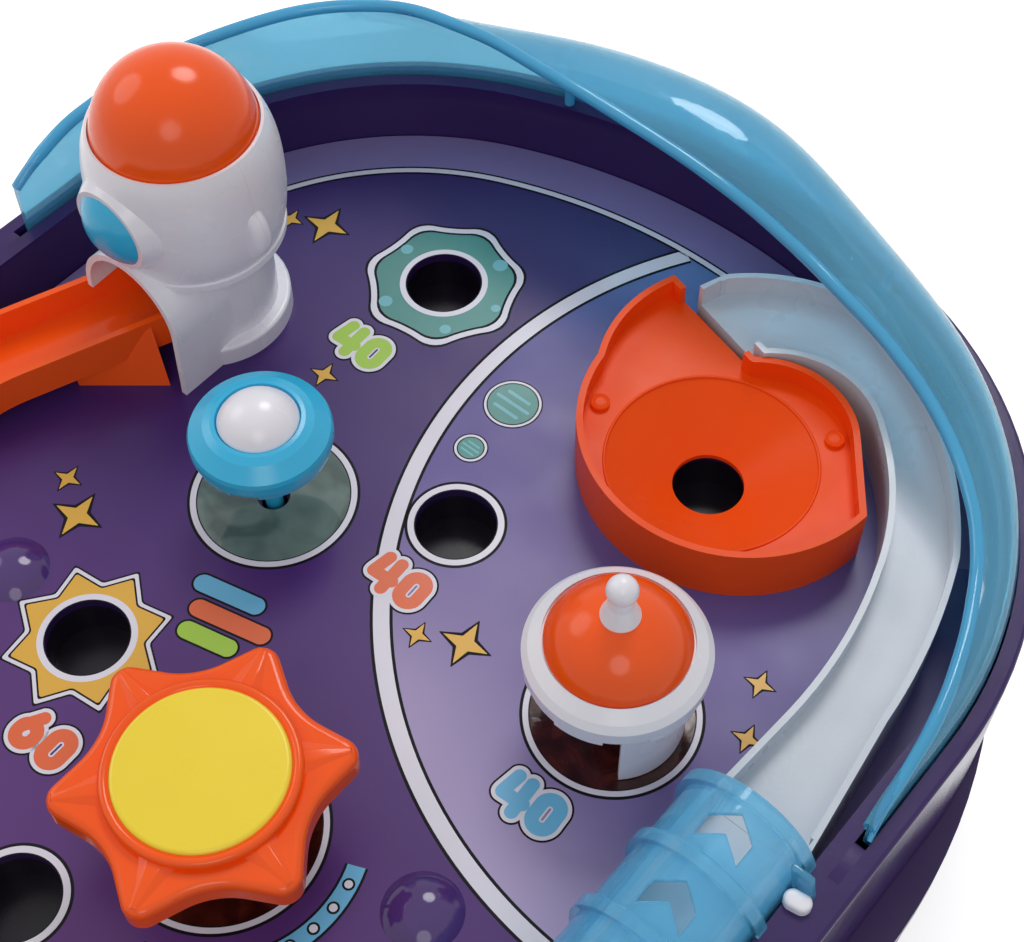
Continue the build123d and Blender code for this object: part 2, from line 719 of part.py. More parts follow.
def launch_track():
    """A white channel on two skirts; its ends are open towards the funnel and the lane."""
    plan = track_outline()
    inner = track_outline(LANE_WALL)
    body = prism(plan, 0, TRACK_TOP)
    body -= prism(inner, TRACK_FLOOR, TRACK_TOP + 1)
    body -= prism(inner, -1, TRACK_FLOOR - LANE_WALL)
    body -= block(LANE_X - 12.5, LANE_X + 13.6, LANE_REAR - 3, LANE_REAR + 6, TRACK_FLOOR, TRACK_TOP + 1)
    body -= Pos(31.5, -43.5, TRACK_FLOOR + 10) * Rot(0, 0, -16.3) * Box(25, 10, 20)
    return body


def lane_profile(floor):
    """The lane's height over the deck along Y, as a face in the YZ plane, with its floor raised by a given amount."""
    front = CONSOLE_REAR + FACE_GAP
    rear = LANE_REAR - FACE_GAP
    points = [
        (front, 0), (rear, 0), (rear, TRACK_FLOOR + floor), (RAMP_TOP, TRACK_FLOOR + floor),
        (RAMP_START, LANE_FLOOR + floor), (front, LANE_FLOOR + floor),
    ]
    return Plane.YZ * make_face(Polyline(points, close=True).edges())


def lane_ramp():
    """A straight white channel: flat at the plunger, then a ramp up to the track."""
    half = LANE_HALF_WIDTH + LANE_WALL
    side = min(LANE_SIDE, TRACK_TOP - TRACK_FLOOR)
    body = Pos(LANE_X - half, 0, 0) * extrude(lane_profile(side), 2 * half)
    space = Pos(LANE_X - LANE_HALF_WIDTH, 0, 0) * extrude(lane_profile(side + 20), 2 * LANE_HALF_WIDTH)
    floor = Pos(LANE_X - half, 0, 0) * extrude(lane_profile(0), 2 * half)
    body = (body - space) + floor
    under = Pos(0, 0, -LANE_WALL) * (Pos(LANE_X - LANE_HALF_WIDTH, 0, 0) * extrude(lane_profile(0), 2 * LANE_HALF_WIDTH))
    return body - (under & block(-300, 300, RAMP_START + 20, 0, -1, 40))


def tube_cover():
    """A clear half tube on straight sides, ribbed at each section, with a chevron window in each."""
    length = TUBE_SECTION * TUBE_SECTIONS
    body = tube_slice(TUBE_RADIUS, TUBE_RADIUS - TUBE_WALL, LANE_REAR - length, LANE_REAR)
    for i in range(TUBE_SECTIONS + 1):
        y = LANE_REAR - i * TUBE_SECTION
        low, high = y - TUBE_RIB_LENGTH / 2, y + TUBE_RIB_LENGTH / 2
        if i == 0:
            low, high = y - TUBE_RIB_LENGTH, y
        if i == TUBE_SECTIONS:
            low, high = y, y + TUBE_RIB_LENGTH
        body += tube_slice(TUBE_RADIUS + TUBE_RIB, TUBE_RADIUS - TUBE_WALL, low, high)
    for i in range(TUBE_SECTIONS):
        body -= chevron(LANE_REAR - (i + 0.5) * TUBE_SECTION - 0.8)
    inside_rim = prism(outline(-0.1), -1, RIM_HEIGHT + 0.2) + prism(outline(30), RIM_HEIGHT + 0.15, 60)
    return body & inside_rim


def tube_slice(outer, inner, low, high):
    shell = half_tube(outer, low, high) - half_tube(inner, low - 1, high + 1)
    return shell


def half_tube(radius, low, high):
    middle = (low + high) / 2
    arch = Pos(TUBE_X, middle, TUBE_AXIS_Z) * Rot(90, 0, 0) * Cylinder(radius, high - low)
    legs = block(TUBE_X - radius, TUBE_X + radius, low, high, 0, TUBE_AXIS_Z)
    return (arch & block(-300, 300, low, high, TUBE_AXIS_Z, 80)) + legs


def chevron(y):
    """A window cut down through the crown, pointing to the rear."""
    half, arm, nose = 6.4, 5.2, 4.6
    points = [
        (-half, y - arm), (0, y - arm + nose), (half, y - arm), (half, y + arm - nose + 1), (0, y + arm + 1),
        (-half, y + arm - nose + 1),
    ]
    return Pos(TUBE_X, 0, 0) * prism(make_face(Polyline(points, close=True).edges()), TUBE_AXIS_Z + 5, 60)


# Rocket tower and chute

def rocket_frame():
    """Places a shape drawn about the origin, with -Y out of the door, at the rocket."""
    return Pos(ROCKET_X, ROCKET_Y, 0)


def rocket_swell(inset, top):
    """The swelling body as a solid of revolution between the seam and its top, drawn in by an inset."""
    points = [(r - inset, 0, z) for r, z in ROCKET_SWELL]
    low = (0, 0, points[0][2])
    edges = [Spline(*points), Line(points[-1], (0, 0, points[-1][2])), Line((0, 0, points[-1][2]), low)]
    edges.append(Line(low, points[0]))
    body = revolve(make_face(edges), Axis.Z)
    return body & disc(0, 0, 60, 0, top)


def rocket_outer():
    """Leg, swelling body with its seam lip, base ring, doorway hood, fins and window boss."""
    body = rocket_swell(0, ROCKET_TOP)
    body += disc(0, 0, ROCKET_LEG_RADIUS, 0, ROCKET_SWELL[0][1] + 1)
    body += disc(0, 0, ROCKET_SWELL[0][0] + SEAM_LIP, ROCKET_SWELL[0][1] - SEAM_HEIGHT, ROCKET_SWELL[0][1])
    base = disc(0, 0, ROCKET_BASE_RADIUS, 0, ROCKET_BASE_HEIGHT)
    base = fillet(base.faces().sort_by(Axis.Z)[-1].edges(), 1.2)
    body += base & block(-40, 40, BASE_END, 40, -1, 20)
    hood = arch_prism(DOOR_HALF_WIDTH + ROCKET_WALL, DOOR_HEIGHT + ROCKET_WALL, HOOD_REACH + 4, 0)
    hood -= Pos(0, -HOOD_REACH, 0) * Rot(-HOOD_LEAN, 0, 0) * block(-60, 60, -60, 0, -60, 90)
    body += hood
    for sign in (-1, 1):
        body += fin(sign)
    boss = Cone(WINDOW_RADIUS + 5.5, WINDOW_RADIUS + 1.6, WINDOW_BOSS)
    return body + Pos(0, WINDOW_BOSS / 2 - WINDOW_FACE, WINDOW_Z) * Rot(90, 0, 0) * boss


def rocket_solid():
    """The whole white tower before it is split in two shells."""
    seat = ROCKET_TOP - NOSE_SINK
    body = rocket_outer()
    body -= rocket_swell(ROCKET_WALL, seat - ROCKET_WALL)
    body -= disc(0, 0, ROCKET_LEG_RADIUS - ROCKET_WALL, -1, ROCKET_SWELL[0][1] + 1)
    body -= arch_prism(DOOR_HALF_WIDTH, DOOR_HEIGHT, 60, 0)
    body -= disc(0, 0, NOSE_RADIUS + CLEARANCE, seat, ROCKET_TOP + 1)
    body -= disc(0, 0, NOSE_RADIUS - 2, seat - 5, seat + 1)
    body += disc(0, 0, ROCKET_LEG_RADIUS - 1, ROCKET_FLOOR - 2, ROCKET_FLOOR)
    way = chute_plan(CHUTE_HALF_WIDTH + CLEARANCE, CHUTE_START - CLEARANCE)
    way = prism(way, -1, 60) & falling_slab(-60, CHUTE_SIDE + CLEARANCE)
    return body - rocket_frame().inverse() * chute_frame() * way


def arch_prism(half, height, reach, start):
    """A doorway's space: straight sides, round head, drawn out of the door."""
    straight = height - half
    body = block(-half, half, -reach, start, 0, straight)
    head = Pos(0, (start - reach) / 2, straight) * Rot(90, 0, 0) * Cylinder(half, reach + start)
    return body + (head & block(-half, half, -reach, start, straight, height + 1))


def fin(sign):
    """A leaf-shaped fin on the tower's side, thickest low down."""
    low, foot = (ROCKET_BODY_RADIUS - 4, FIN_TOP), (ROCKET_BODY_RADIUS - 4, FIN_FOOT)
    bulge = Spline(low, (FIN_REACH - 1.0, FIN_TOP - 7.0), (FIN_REACH, FIN_FOOT + 8.5), foot)
    leaf = extrude(Plane.XZ * make_face([bulge, Line(foot, low)]), FIN_WIDTH / 2, both=True)
    leaf = fillet([e for e in leaf.edges() if e.bounding_box().max.X > FIN_REACH - 2], 2.6)
    return leaf if sign > 0 else mirror(leaf, Plane.YZ)


def rocket_half(sign):
    half = block(-80, 80, FACE_GAP / 2, 80, -5, 120) if sign > 0 else block(-80, 80, -80, -FACE_GAP / 2, -5, 120)
    return rocket_frame() * (rocket_solid() & half)


def rocket_nose():
    """A dome sunk in the tower's rim, with a spigot in the hole below it."""
    seat = ROCKET_TOP - NOSE_SINK + FACE_GAP
    radius = (NOSE_RADIUS**2 + NOSE_RISE**2) / (2 * NOSE_RISE)
    ball = Pos(0, 0, seat + 1.2 + NOSE_RISE - radius) * (Sphere(radius) - Sphere(radius - 1.8))
    dome = ball & block(-60, 60, -60, 60, seat + 1.2, 140)
    dome += tube(0, 0, NOSE_RADIUS, NOSE_RADIUS - 3, seat, seat + 2.2)
    dome += tube(0, 0, NOSE_RADIUS - 2 - FACE_GAP, NOSE_RADIUS - 3.6, seat - 3.5, seat + 1)
    return rocket_frame() * dome


def rocket_window():
    """A bulging porthole over the window boss."""
    rise = 5.0
    radius = (WINDOW_RADIUS**2 + rise**2) / (2 * rise)
    dome = Pos(0, 0, rise - radius) * Sphere(radius) & block(-30, 30, -30, 30, 0, 30)
    return rocket_frame() * Pos(0, -WINDOW_FACE - FACE_GAP, WINDOW_Z) * Rot(90, 0, 0) * dome


def chute_frame():
    """Places a shape drawn with -Y down the chute's first run."""
    return Pos(CHUTE_X, CHUTE_Y, 0) * Rot(0, 0, -CHUTE_TURN)


def chute_plan(half, begin=CHUTE_START):
    """The chute's plan in its own frame: straight out of the door, then bent along the deck's side."""
    turn = math.radians(CHUTE_TURN)
    run = CHUTE_BEND * math.tan(turn / 2)
    start = (CHUTE_SHIFT, -begin)
    bend = (CHUTE_SHIFT, -CHUTE_CORNER + run)
    centre = (CHUTE_SHIFT + CHUTE_BEND, -CHUTE_CORNER + run)

    def on_bend(radius, angle):
        return (centre[0] - radius * math.cos(angle), centre[1] - radius * math.sin(angle))

    left, right = CHUTE_BEND + half, CHUTE_BEND - half
    heading = (CHUTE_TAIL * math.sin(turn), -CHUTE_TAIL * math.cos(turn))
    left_end, right_end = on_bend(left, turn), on_bend(right, turn)
    left_tail = (left_end[0] + heading[0], left_end[1] + heading[1])
    right_tail = (right_end[0] + heading[0], right_end[1] + heading[1])
    return make_face([
        Line((start[0] - half, start[1]), (bend[0] - half, bend[1])),
        ThreePointArc((bend[0] - half, bend[1]), on_bend(left, turn / 2), left_end),
        Line(left_end, left_tail),
        Line(left_tail, right_tail),
        Line(right_tail, right_end),
        ThreePointArc(right_end, on_bend(right, turn / 2), (bend[0] + half, bend[1])),
        Line((bend[0] + half, bend[1]), (start[0] + half, start[1])),
        Line((start[0] + half, start[1]), (start[0] - half, start[1])),
    ])


def falling_slab(low, high):
    """The space between two heights over the chute's falling floor, in the chute's frame."""
    return Pos(0, -CHUTE_START, CHUTE_FLOOR) * Rot(CHUTE_FALL, 0, 0) * block(-90, 90, -200, 40, low, high)


def chute_knee():
    """The slanting support that carries the chute's head on the deck in front of the door."""
    faces = []
    for reach, points in CHUTE_KNEE:
        corners = [(r, -reach, z) for r, z in points]
        faces.append(make_face(Polyline(corners, close=True).edges()))
    return loft(faces, ruled=True)


def rocket_chute():
    """A trough on a slanting knee and a rib, falling from the rocket's door along the deck's side."""
    outer = prism(chute_plan(CHUTE_HALF_WIDTH), 0, 60)
    inner = prism(chute_plan(CHUTE_HALF_WIDTH - CHUTE_WALL), 0, 61)
    body = outer & falling_slab(-CHUTE_WALL, CHUTE_SIDE)
    body += chute_knee()
    body += block(CHUTE_SHIFT - 6, CHUTE_SHIFT + 8, -100, -94, 0, 12) & (outer - falling_slab(0, 60))
    body -= inner & falling_slab(0, 60)
    return chute_frame() * (body & block(-90, 90, -200, 90, 0, 90))


# Bumpers

def bumper_disc(x, y, radius, hole):
    """A thin translucent plate let into the deck under a bumper."""
    return tube(x, y, radius, hole, -PLATE_THICKNESS, 0)


def bumper_stem(x, y, top):
    """A post with a ball at its foot, which rocks in its socket under the deck."""
    stem = disc(x, y, STEM_RADIUS, -PIVOT_DEPTH, top)
    return stem + Pos(x, y, -PIVOT_DEPTH) * Sphere(SOCKET_BORE - 0.1)


def bumper_socket(x, y):
    """A moulded cup under the deck that carries a bumper's ball."""
    floor = -PIVOT_DEPTH - SOCKET_BORE - 0.1
    cup = disc(x, y, SOCKET_BORE + 2.4, floor - 1.6, -DECK_THICKNESS)
    cup += disc(x, y, STEM_HOLE + 4, -DECK_THICKNESS - 1.6, -DECK_THICKNESS)
    return cup - disc(x, y, SOCKET_BORE, floor, -DECK_THICKNESS + 1)


def mushroom_cap():
    """A turned cap with a hollow skirt, a hub on the stem and a recess for the white dome."""
    r, low = MUSHROOM_RADIUS, MUSHROOM_LOW
    bore = STEM_RADIUS + FACE_GAP
    cap = turned_profile([
        (bore, low + 0.5), (5.2, low + 0.5), (5.2, low + 7.5), (15.5, low + 5.5), (r - 2.2, low + 3.1), (r - 2.2, low),
        (r - 0.8, low), (r, low + 2.9), (r, low + 5.7), (r - 0.5, low + 6.9), (r - 1.6, low + 7.7), (15.5, low + 10.1),
        (13.2, low + 11.1), (12.0, low + 11.3), (11.6, low + 9.9), (bore, low + 9.9),
    ])
    for angle in (-60, 120):
        cap -= Rot(0, 0, angle) * block(r - 5, r + 2, -4, 4, low - 5, low + 1.7)
    return Pos(*MUSHROOM, 0) * cap


def mushroom_dome():
    base, radius, rise = MUSHROOM_LOW + 10.0, 11.4, 6.6
    sphere = (radius**2 + rise**2) / (2 * rise)
    dome = Pos(0, 0, base + 0.8 + rise - sphere) * Sphere(sphere) & block(-30, 30, -30, 30, base + 0.8, 60)
    return Pos(*MUSHROOM, 0) * (dome + disc(0, 0, radius, base, base + 0.8))


def star_face(tip, valley):
    points = []
    for i in range(STAR_POINTS):
        points.append(turned(0, 0, tip, STAR_TURN + 60 * i))
        points.append(turned(0, 0, valley, STAR_TURN + 30 + 60 * i))
    outline_wire = Polyline(points, close=True)
    face = make_face(outline_wire.edges())
    tips = [v for v in face.vertices() if math.hypot(v.X, v.Y) > (tip + valley) / 2]
    face = fillet(tips, 5.0)
    valleys = [v for v in face.vertices() if math.hypot(v.X, v.Y) < valley + 0.2]
    return fillet(valleys, 22.0)


def sun_star():
    """A six-pointed cap, hollow below, with a raised ring round the yellow face."""
    body = prism(star_face(STAR_TIP, STAR_VALLEY), STAR_LOW, STAR_HIGH)
    body = fillet(body.faces().sort_by(Axis.Z)[-1].edges(), 2.4)
    body += disc(0, 0, SUN_FACE_RADIUS + 2.4, STAR_HIGH - 2, STAR_HIGH + 2.6)
    body -= disc(0, 0, SUN_FACE_RADIUS + FACE_GAP, STAR_HIGH, STAR_HIGH + 4)
    body -= disc(0, 0, 24.0, STAR_LOW - 1, STAR_HIGH - 2)
    body += disc(0, 0, 5.2, STAR_LOW - 2, STAR_HIGH - 1)
    body -= disc(0, 0, STEM_RADIUS + FACE_GAP, STAR_LOW - 3, STAR_HIGH + 4)
    return Pos(*SUN, 0) * body


def sun_face():
    plate = disc(0, 0, SUN_FACE_RADIUS, STAR_HIGH, STAR_HIGH + 3.5)
    plate = fillet(plate.faces().sort_by(Axis.Z)[-1].edges(), 1.2)
    return Pos(*SUN, 0) * plate


def saucer_spindle():
    """The fixed post that the saucer turns on, with a foot under the deck and a shoulder under the hub."""
    post = disc(0, 0, SPINDLE_RADIUS + 2, -DECK_THICKNESS - 6, SAUCER_LOW - 4)
    post += disc(0, 0, SPINDLE_RADIUS, SAUCER_LOW - 5, SAUCER_SEAT + 4)
    post += disc(0, 0, SPINDLE_RADIUS + 6, -DECK_THICKNESS - 2.4, -DECK_THICKNESS - FACE_GAP)
    return Pos(*SAUCER, 0) * post


def pie(radius, first, last):
    """A slice of a disc between two angles, as a face."""
    steps = max(2, math.ceil((last - first) / 30))
    rim = [turned(0, 0, radius, first + (last - first) * i / steps) for i in range(steps + 1)]
    return make_face(Polyline([(0, 0)] + rim, close=True).edges())


def saucer_wall():
    """A curved wall open towards the left, hung from the saucer's ring."""
    wall = tube(0, 0, SAUCER_WALL_RADIUS, SAUCER_WALL_RADIUS - 1.8, 2 * CLEARANCE, SAUCER_LOW + 2)
    return Pos(*SAUCER, 0) * (wall & prism(pie(SAUCER_WALL_RADIUS + 8, *SAUCER_OPEN), 0, 60))


def saucer_ring():
    """The white cap: hub, web, wide rim with a notched skirt, and a seat for the dome."""
    r = SAUCER_RADIUS
    low = SAUCER_LOW
    ring = turned_profile([
        (SPINDLE_RADIUS + FACE_GAP, low - 3.7), (6.2, low - 3.7), (6.2, low + 2 + FACE_GAP),
        (SAUCER_WALL_RADIUS + 0.6, low + 2 + FACE_GAP), (r - 2, low), (r - 0.4, low), (r, low + 6.5),
        (r - 1.6, low + 8.6), (SAUCER_DOME_RADIUS + 0.6, SAUCER_SEAT + 1), (SAUCER_DOME_RADIUS + 0.6, SAUCER_SEAT),
        (SPINDLE_RADIUS + FACE_GAP, SAUCER_SEAT),
    ])
    for i in range(SAUCER_NOTCHES):
        first = i * 360 / SAUCER_NOTCHES
        step = prism(pie(r + 6, first, first + NOTCH_ANGLE), low - 1, low + 1.6)
        ring -= step - disc(0, 0, r - 2.8, low - 2, low + 3)
    return Pos(*SAUCER, 0) * ring


def saucer_dome():
    base, radius, rise = SAUCER_SEAT + FACE_GAP, SAUCER_DOME_RADIUS, 12.5
    sphere = (radius**2 + rise**2) / (2 * rise)
    dome = Pos(0, 0, base + 1 + rise - sphere) * Sphere(sphere) & block(-30, 30, -30, 30, base + 1, 80)
    dome += disc(0, 0, radius, base, base + 1)
    dome -= disc(0, 0, SPINDLE_RADIUS + 1, base - 1, SAUCER_SEAT + 5)
    return Pos(*SAUCER, 0) * dome


def saucer_knob():
    """A small ball on a flared neck."""
    base = SAUCER_SEAT + 13.4
    neck = turned_profile([(0, base), (5.2, base), (3.4, base + 5), (2.9, base + 8), (0, base + 8)])
    knob = neck + Pos(0, 0, base + 11) * Sphere(4.1)
    seat = SAUCER_SEAT + 1 + 12.5 + FACE_GAP
    sphere = (SAUCER_DOME_RADIUS**2 + 12.5**2) / 25
    knob += disc(0, 0, 5.2, base - 1.2, base)
    return Pos(*SAUCER, 0) * (knob - Pos(0, 0, seat + FACE_GAP - sphere) * Sphere(sphere + FACE_GAP))


# Flippers, buttons and guides

def flipper_points(length, root, tip):
    """The bat's outline: two arcs joined by their tangents, pointing along +X."""
    slant = math.degrees(math.acos((root - tip) / length))
    far = (length, 0)
    return make_face([
        ThreePointArc(turned(0, 0, root, slant), (-root, 0), turned(0, 0, root, -slant)),
        Line(turned(0, 0, root, -slant), turned(*far, tip, -slant)),
        ThreePointArc(turned(*far, tip, -slant), (length + tip, 0), turned(*far, tip, slant)),
        Line(turned(*far, tip, slant), turned(0, 0, root, slant)),
    ])


def bat(length, root, tip, low, high):
    return prism(flipper_points(length, root, tip), low, high)


def place_flipper(side, shape):
    """Sets a bat drawn along +X on its pivot, turned down to its rest angle; side is -1 for the left one."""
    x = FLIPPER_MIDDLE + side * FLIPPER_SPREAD
    angle = -FLIPPER_REST if side < 0 else 180 + FLIPPER_REST
    return Pos(x, FLIPPER_Y, 0) * Rot(0, 0, angle) * shape


def flipper(side):
    """The bat with its top plate, shaft, crank and crank pin in one moulding."""
    length = FLIPPER_LENGTH - FLIPPER_TIP
    body = bat(length, FLIPPER_ROOT, FLIPPER_TIP, 2 * CLEARANCE, FLIPPER_HEIGHT)
    body += bat(length, FLIPPER_ROOT + RUBBER, FLIPPER_TIP + RUBBER, FLIPPER_HEIGHT - 2, FLIPPER_HEIGHT)
    body += disc(0, 0, FLIPPER_SHAFT, crank_low(), 3)
    body = place_flipper(side, body)
    x = FLIPPER_MIDDLE + side * FLIPPER_SPREAD
    pin_x, pin_y = crank_pin(side)
    body += disc(x, FLIPPER_Y, crank_radius() + 3, crank_low(), crank_low() + 2.4)
    return body + disc(pin_x, pin_y, PIN_RADIUS, crank_low() + 1, BUTTON_Z + PUSH_BAR / 2)


def crank_low():
    return BUTTON_Z - PUSH_BAR / 2 - CLEARANCE - 2.4


def crank_pin(side):
    """The pin starts half the swing short of square to the bar and ends half the swing past it."""
    x = FLIPPER_MIDDLE + side * FLIPPER_SPREAD
    return (x + side * BUTTON_TRAVEL / 2, button_y())


def flipper_rubber(side):
    length = FLIPPER_LENGTH - FLIPPER_TIP
    band = bat(length, FLIPPER_ROOT + RUBBER, FLIPPER_TIP + RUBBER, 3, FLIPPER_HEIGHT - 2 - FACE_GAP)
    return place_flipper(side, band - bat(length, FLIPPER_ROOT, FLIPPER_TIP, 0, 20))


def flipper_button(side):
    """A round side button with a flange behind the rim's wall and a bar that reaches the flipper's crank."""
    wall_out = DECK_HALF_WIDTH + RIM_WIDTH
    wall_in = wall_out - RIM_WALL
    flange = wall_in - CLEARANCE
    cap = Pos((wall_out + BUTTON_PROUD + flange) / 2, 0, 0) * Rot(0, 90, 0) * Cylinder(
        BUTTON_RADIUS, wall_out + BUTTON_PROUD - flange
    )
    cap = fillet(cap.faces().sort_by(Axis.X)[-1].edges(), 1.5)
    cap += Pos(flange - 0.8, 0, 0) * Rot(0, 90, 0) * Cylinder(BUTTON_RADIUS + 1.5, 1.6)
    pin_x = abs(crank_pin(side)[0])
    bar = block(pin_x - 5, flange, -BAR_HALF_WIDTH, BAR_HALF_WIDTH, -PUSH_BAR / 2, PUSH_BAR / 2)
    rise = crank_radius() * (1 - math.cos(math.radians(FLIPPER_SWING / 2)))
    slot = block(pin_x - PIN_RADIUS - PIN_GAP, pin_x + PIN_RADIUS + PIN_GAP, -PIN_RADIUS - rise - PIN_GAP,
                 PIN_RADIUS + PIN_GAP, -5, 5)
    shape = Pos(0, button_y(), BUTTON_Z) * (cap + bar - slot)
    return shape.mirror(Plane.YZ) if side < 0 else shape


def slingshots():
    """Two three-cornered kickers above the flippers."""
    return Compound(children=[slingshot(side) for side in (-1, 1)])


def slingshot(side):
    x = FLIPPER_SPREAD
    points = [(x + 5, -338), (x + 34, -324), (x + 34, -286)]
    face = make_face(Polyline(points, close=True).edges())
    face = fillet(face.vertices(), 4)
    body = prism(offset(face, -1.2), 0, 14) + prism(face, 12, 15) + prism(face, 0, 3)
    body = Pos(FLIPPER_MIDDLE, 0, 0) * body
    return body if side > 0 else Pos(FLIPPER_MIDDLE, 0, 0) * (Pos(-FLIPPER_MIDDLE, 0, 0) * body).mirror(Plane.YZ)


def flipper_guides():
    """Two low walls that lead the ball from the side lanes to the flippers."""
    return Compound(children=[guide(side) for side in (-1, 1)])


def guide(side):
    path = [(103, -286), (103, -336), (62.5, -357), (61.2, -354.4), (100, -334.2), (100, -286)]
    body = prism(make_face(Polyline(path, close=True).edges()), 0, 12)
    body = Pos(FLIPPER_MIDDLE, 0, 0) * body
    return body if side > 0 else Pos(FLIPPER_MIDDLE, 0, 0) * (Pos(-FLIPPER_MIDDLE, 0, 0) * body).mirror(Plane.YZ)


# Plunger and ball

def plunger_rod():
    length = PLUNGER_TIP_Y - 4 - (BODY_FRONT - KNOB_GAP)
    middle = BODY_FRONT - KNOB_GAP + length / 2
    rod = plunger_axis(middle) * Cylinder(PLUNGER_ROD, length)
    rod += plunger_axis(PLUNGER_TIP_Y - 5.5) * Cylinder(SPRING_RADIUS + 1.4, 2)
    return rod


def plunger_tip():
    tip = plunger_axis(PLUNGER_TIP_Y - 2) * Cylinder(4.6, 4 - FACE_GAP)
    return fillet(tip.faces().sort_by(Axis.Y)[-1].edges(), 1.2)


def plunger_knob():
    """A turned pull knob with a waist and a domed end."""
    r = KNOB_RADIUS
    length = KNOB_LENGTH
    knob = turned_profile([
        (0, 0), (4.6, 0), (4.2, 3), (5.4, 6), (r - 0.6, 9), (r, 11), (r - 0.4, length - 3), (r - 3, length - 0.8),
        (0, length),
    ])
    return plunger_axis(BODY_FRONT - KNOB_GAP - FACE_GAP) * knob


def plunger_bushing():
    """A ring in the rim's front that guides the rod."""
    front = BODY_FRONT + SPOT_DEPTH - FACE_GAP
    ring = plunger_axis(front - 1.5) * Cylinder(BUSHING_FLANGE, 3)
    ring += plunger_axis(front + 5) * Cylinder(BUSHING_RADIUS - FACE_GAP, 11)
    return ring - plunger_axis(front) * Cylinder(PLUNGER_ROD + FACE_GAP, 60)


def plunger_spring():
    """A wire wound round the rod: each half turn is one arc, tilted to meet the next in line."""
    rear = PLUNGER_TIP_Y - 6.5 - SPRING_WIRE - FACE_GAP
    front = CONSOLE_REAR + SPRING_WIRE + FACE_GAP
    step = (rear - front) / SPRING_TURNS / 2
    edges = []
    for i in range(2 * SPRING_TURNS):
        sign = 1 if i % 2 == 0 else -1
        start = (sign * SPRING_RADIUS, 0, i * step)
        middle = (0, sign * math.hypot(SPRING_RADIUS, step / 2), (i + 0.5) * step)
        edges.append(ThreePointArc(start, middle, (-sign * SPRING_RADIUS, 0, (i + 1) * step)))
    tail = 2 * SPRING_WIRE
    top = 2 * SPRING_TURNS * step
    edges.insert(0, Line((SPRING_RADIUS, -tail, 0), (SPRING_RADIUS, 0, 0)))
    edges.append(Line((SPRING_RADIUS, 0, top), (SPRING_RADIUS, tail, top)))
    path = Wire(edges)
    section = Plane(origin=(SPRING_RADIUS, -tail, 0), z_dir=(0, 1, 0)) * Circle(SPRING_WIRE)
    wire = sweep(section, path=path)
    print("spring gap between turns:", round(2 * step - 2 * SPRING_WIRE, 2), "mm")
    return Pos(LANE_X, front, plunger_z()) * Rot(-90, 0, 0) * wire


def steel_ball():
    return Pos(LANE_X, PLUNGER_TIP_Y + BALL_RADIUS + FACE_GAP, plunger_z() + FACE_GAP) * Sphere(BALL_RADIUS)


# Console


def console_plan(inset):
    face = offset(outline(-CLEARANCE), -inset) if inset else outline(-CLEARANCE)
    low = CONSOLE_REAR - inset
    return face & Pos(0, low - 100) * Rectangle(600, 200)


def console_cover():
    """The hood over the deck's front, with openings for the display, speaker, switch and start button."""
    body = prism(console_plan(0), 0, CONSOLE_HEIGHT)
    body = fillet(body.faces().sort_by(Axis.Z)[-1].edges(), 2.0)
    body -= prism(console_plan(CONSOLE_WALL), -1, CONSOLE_HEIGHT - CONSOLE_WALL)
    top = CONSOLE_HEIGHT
    body -= block(
        FLIPPER_MIDDLE - DISPLAY_WIDTH / 2, FLIPPER_MIDDLE + DISPLAY_WIDTH / 2,
        DISPLAY_Y - DISPLAY_DEPTH / 2, DISPLAY_Y + DISPLAY_DEPTH / 2, top - 5, top + 1,
    )
    body -= block(SWITCH_X - 2.4 - SWITCH_TRAVEL / 2, SWITCH_X + 2.4 + SWITCH_TRAVEL / 2, CONTROL_Y - 2.4,
                  CONTROL_Y + 2.4, top - 5, top + 1)
    body -= disc(START_X, CONTROL_Y, START_RADIUS + CLEARANCE, top - 5, top + 1)
    for i in range(5):
        x = SPEAKER_X - 10 + 5 * i
        reach = math.sqrt(12**2 - (x - SPEAKER_X) ** 2)
        body -= block(x - 1, x + 1, CONTROL_Y - reach, CONTROL_Y + reach, top - 5, top + 1)
    body -= plunger_axis(CONSOLE_REAR) * Cylinder(PLUNGER_ROD + CLEARANCE, 30)
    body -= plunger_axis(DECK_FRONT) * Cylinder(BUSHING_RADIUS + CLEARANCE, 40)
    return body


def display_lens():
    top = CONSOLE_HEIGHT
    lens = block(
        FLIPPER_MIDDLE - DISPLAY_WIDTH / 2 + FACE_GAP, FLIPPER_MIDDLE + DISPLAY_WIDTH / 2 - FACE_GAP,
        DISPLAY_Y - DISPLAY_DEPTH / 2 + FACE_GAP, DISPLAY_Y + DISPLAY_DEPTH / 2 - FACE_GAP, top - 4, top - 0.6,
    )
    under = block(
        FLIPPER_MIDDLE - DISPLAY_WIDTH / 2 - 2, FLIPPER_MIDDLE + DISPLAY_WIDTH / 2 + 2,
        DISPLAY_Y - DISPLAY_DEPTH / 2 - 2, DISPLAY_Y + DISPLAY_DEPTH / 2 + 2, top - 5, top - CONSOLE_WALL - FACE_GAP,
    )
    return lens + under


def power_switch():
    top = CONSOLE_HEIGHT
    x = SWITCH_X - SWITCH_TRAVEL / 2
    knob = block(x - 2.1, x + 2.1, CONTROL_Y - 2.1, CONTROL_Y + 2.1, top - 4, top + 1.6)
    return knob + block(x - 6.6, x + 6.6, CONTROL_Y - 4, CONTROL_Y + 4, top - 4, top - CONSOLE_WALL - CLEARANCE)


def start_button():
    top = CONSOLE_HEIGHT
    cap = disc(START_X, CONTROL_Y, START_RADIUS, top - 4, top + 3)
    cap = fillet(cap.faces().sort_by(Axis.Z)[-1].edges(), 1.2)
    return cap + disc(START_X, CONTROL_Y, START_RADIUS + 2, top - 4, top - CONSOLE_WALL - CLEARANCE)


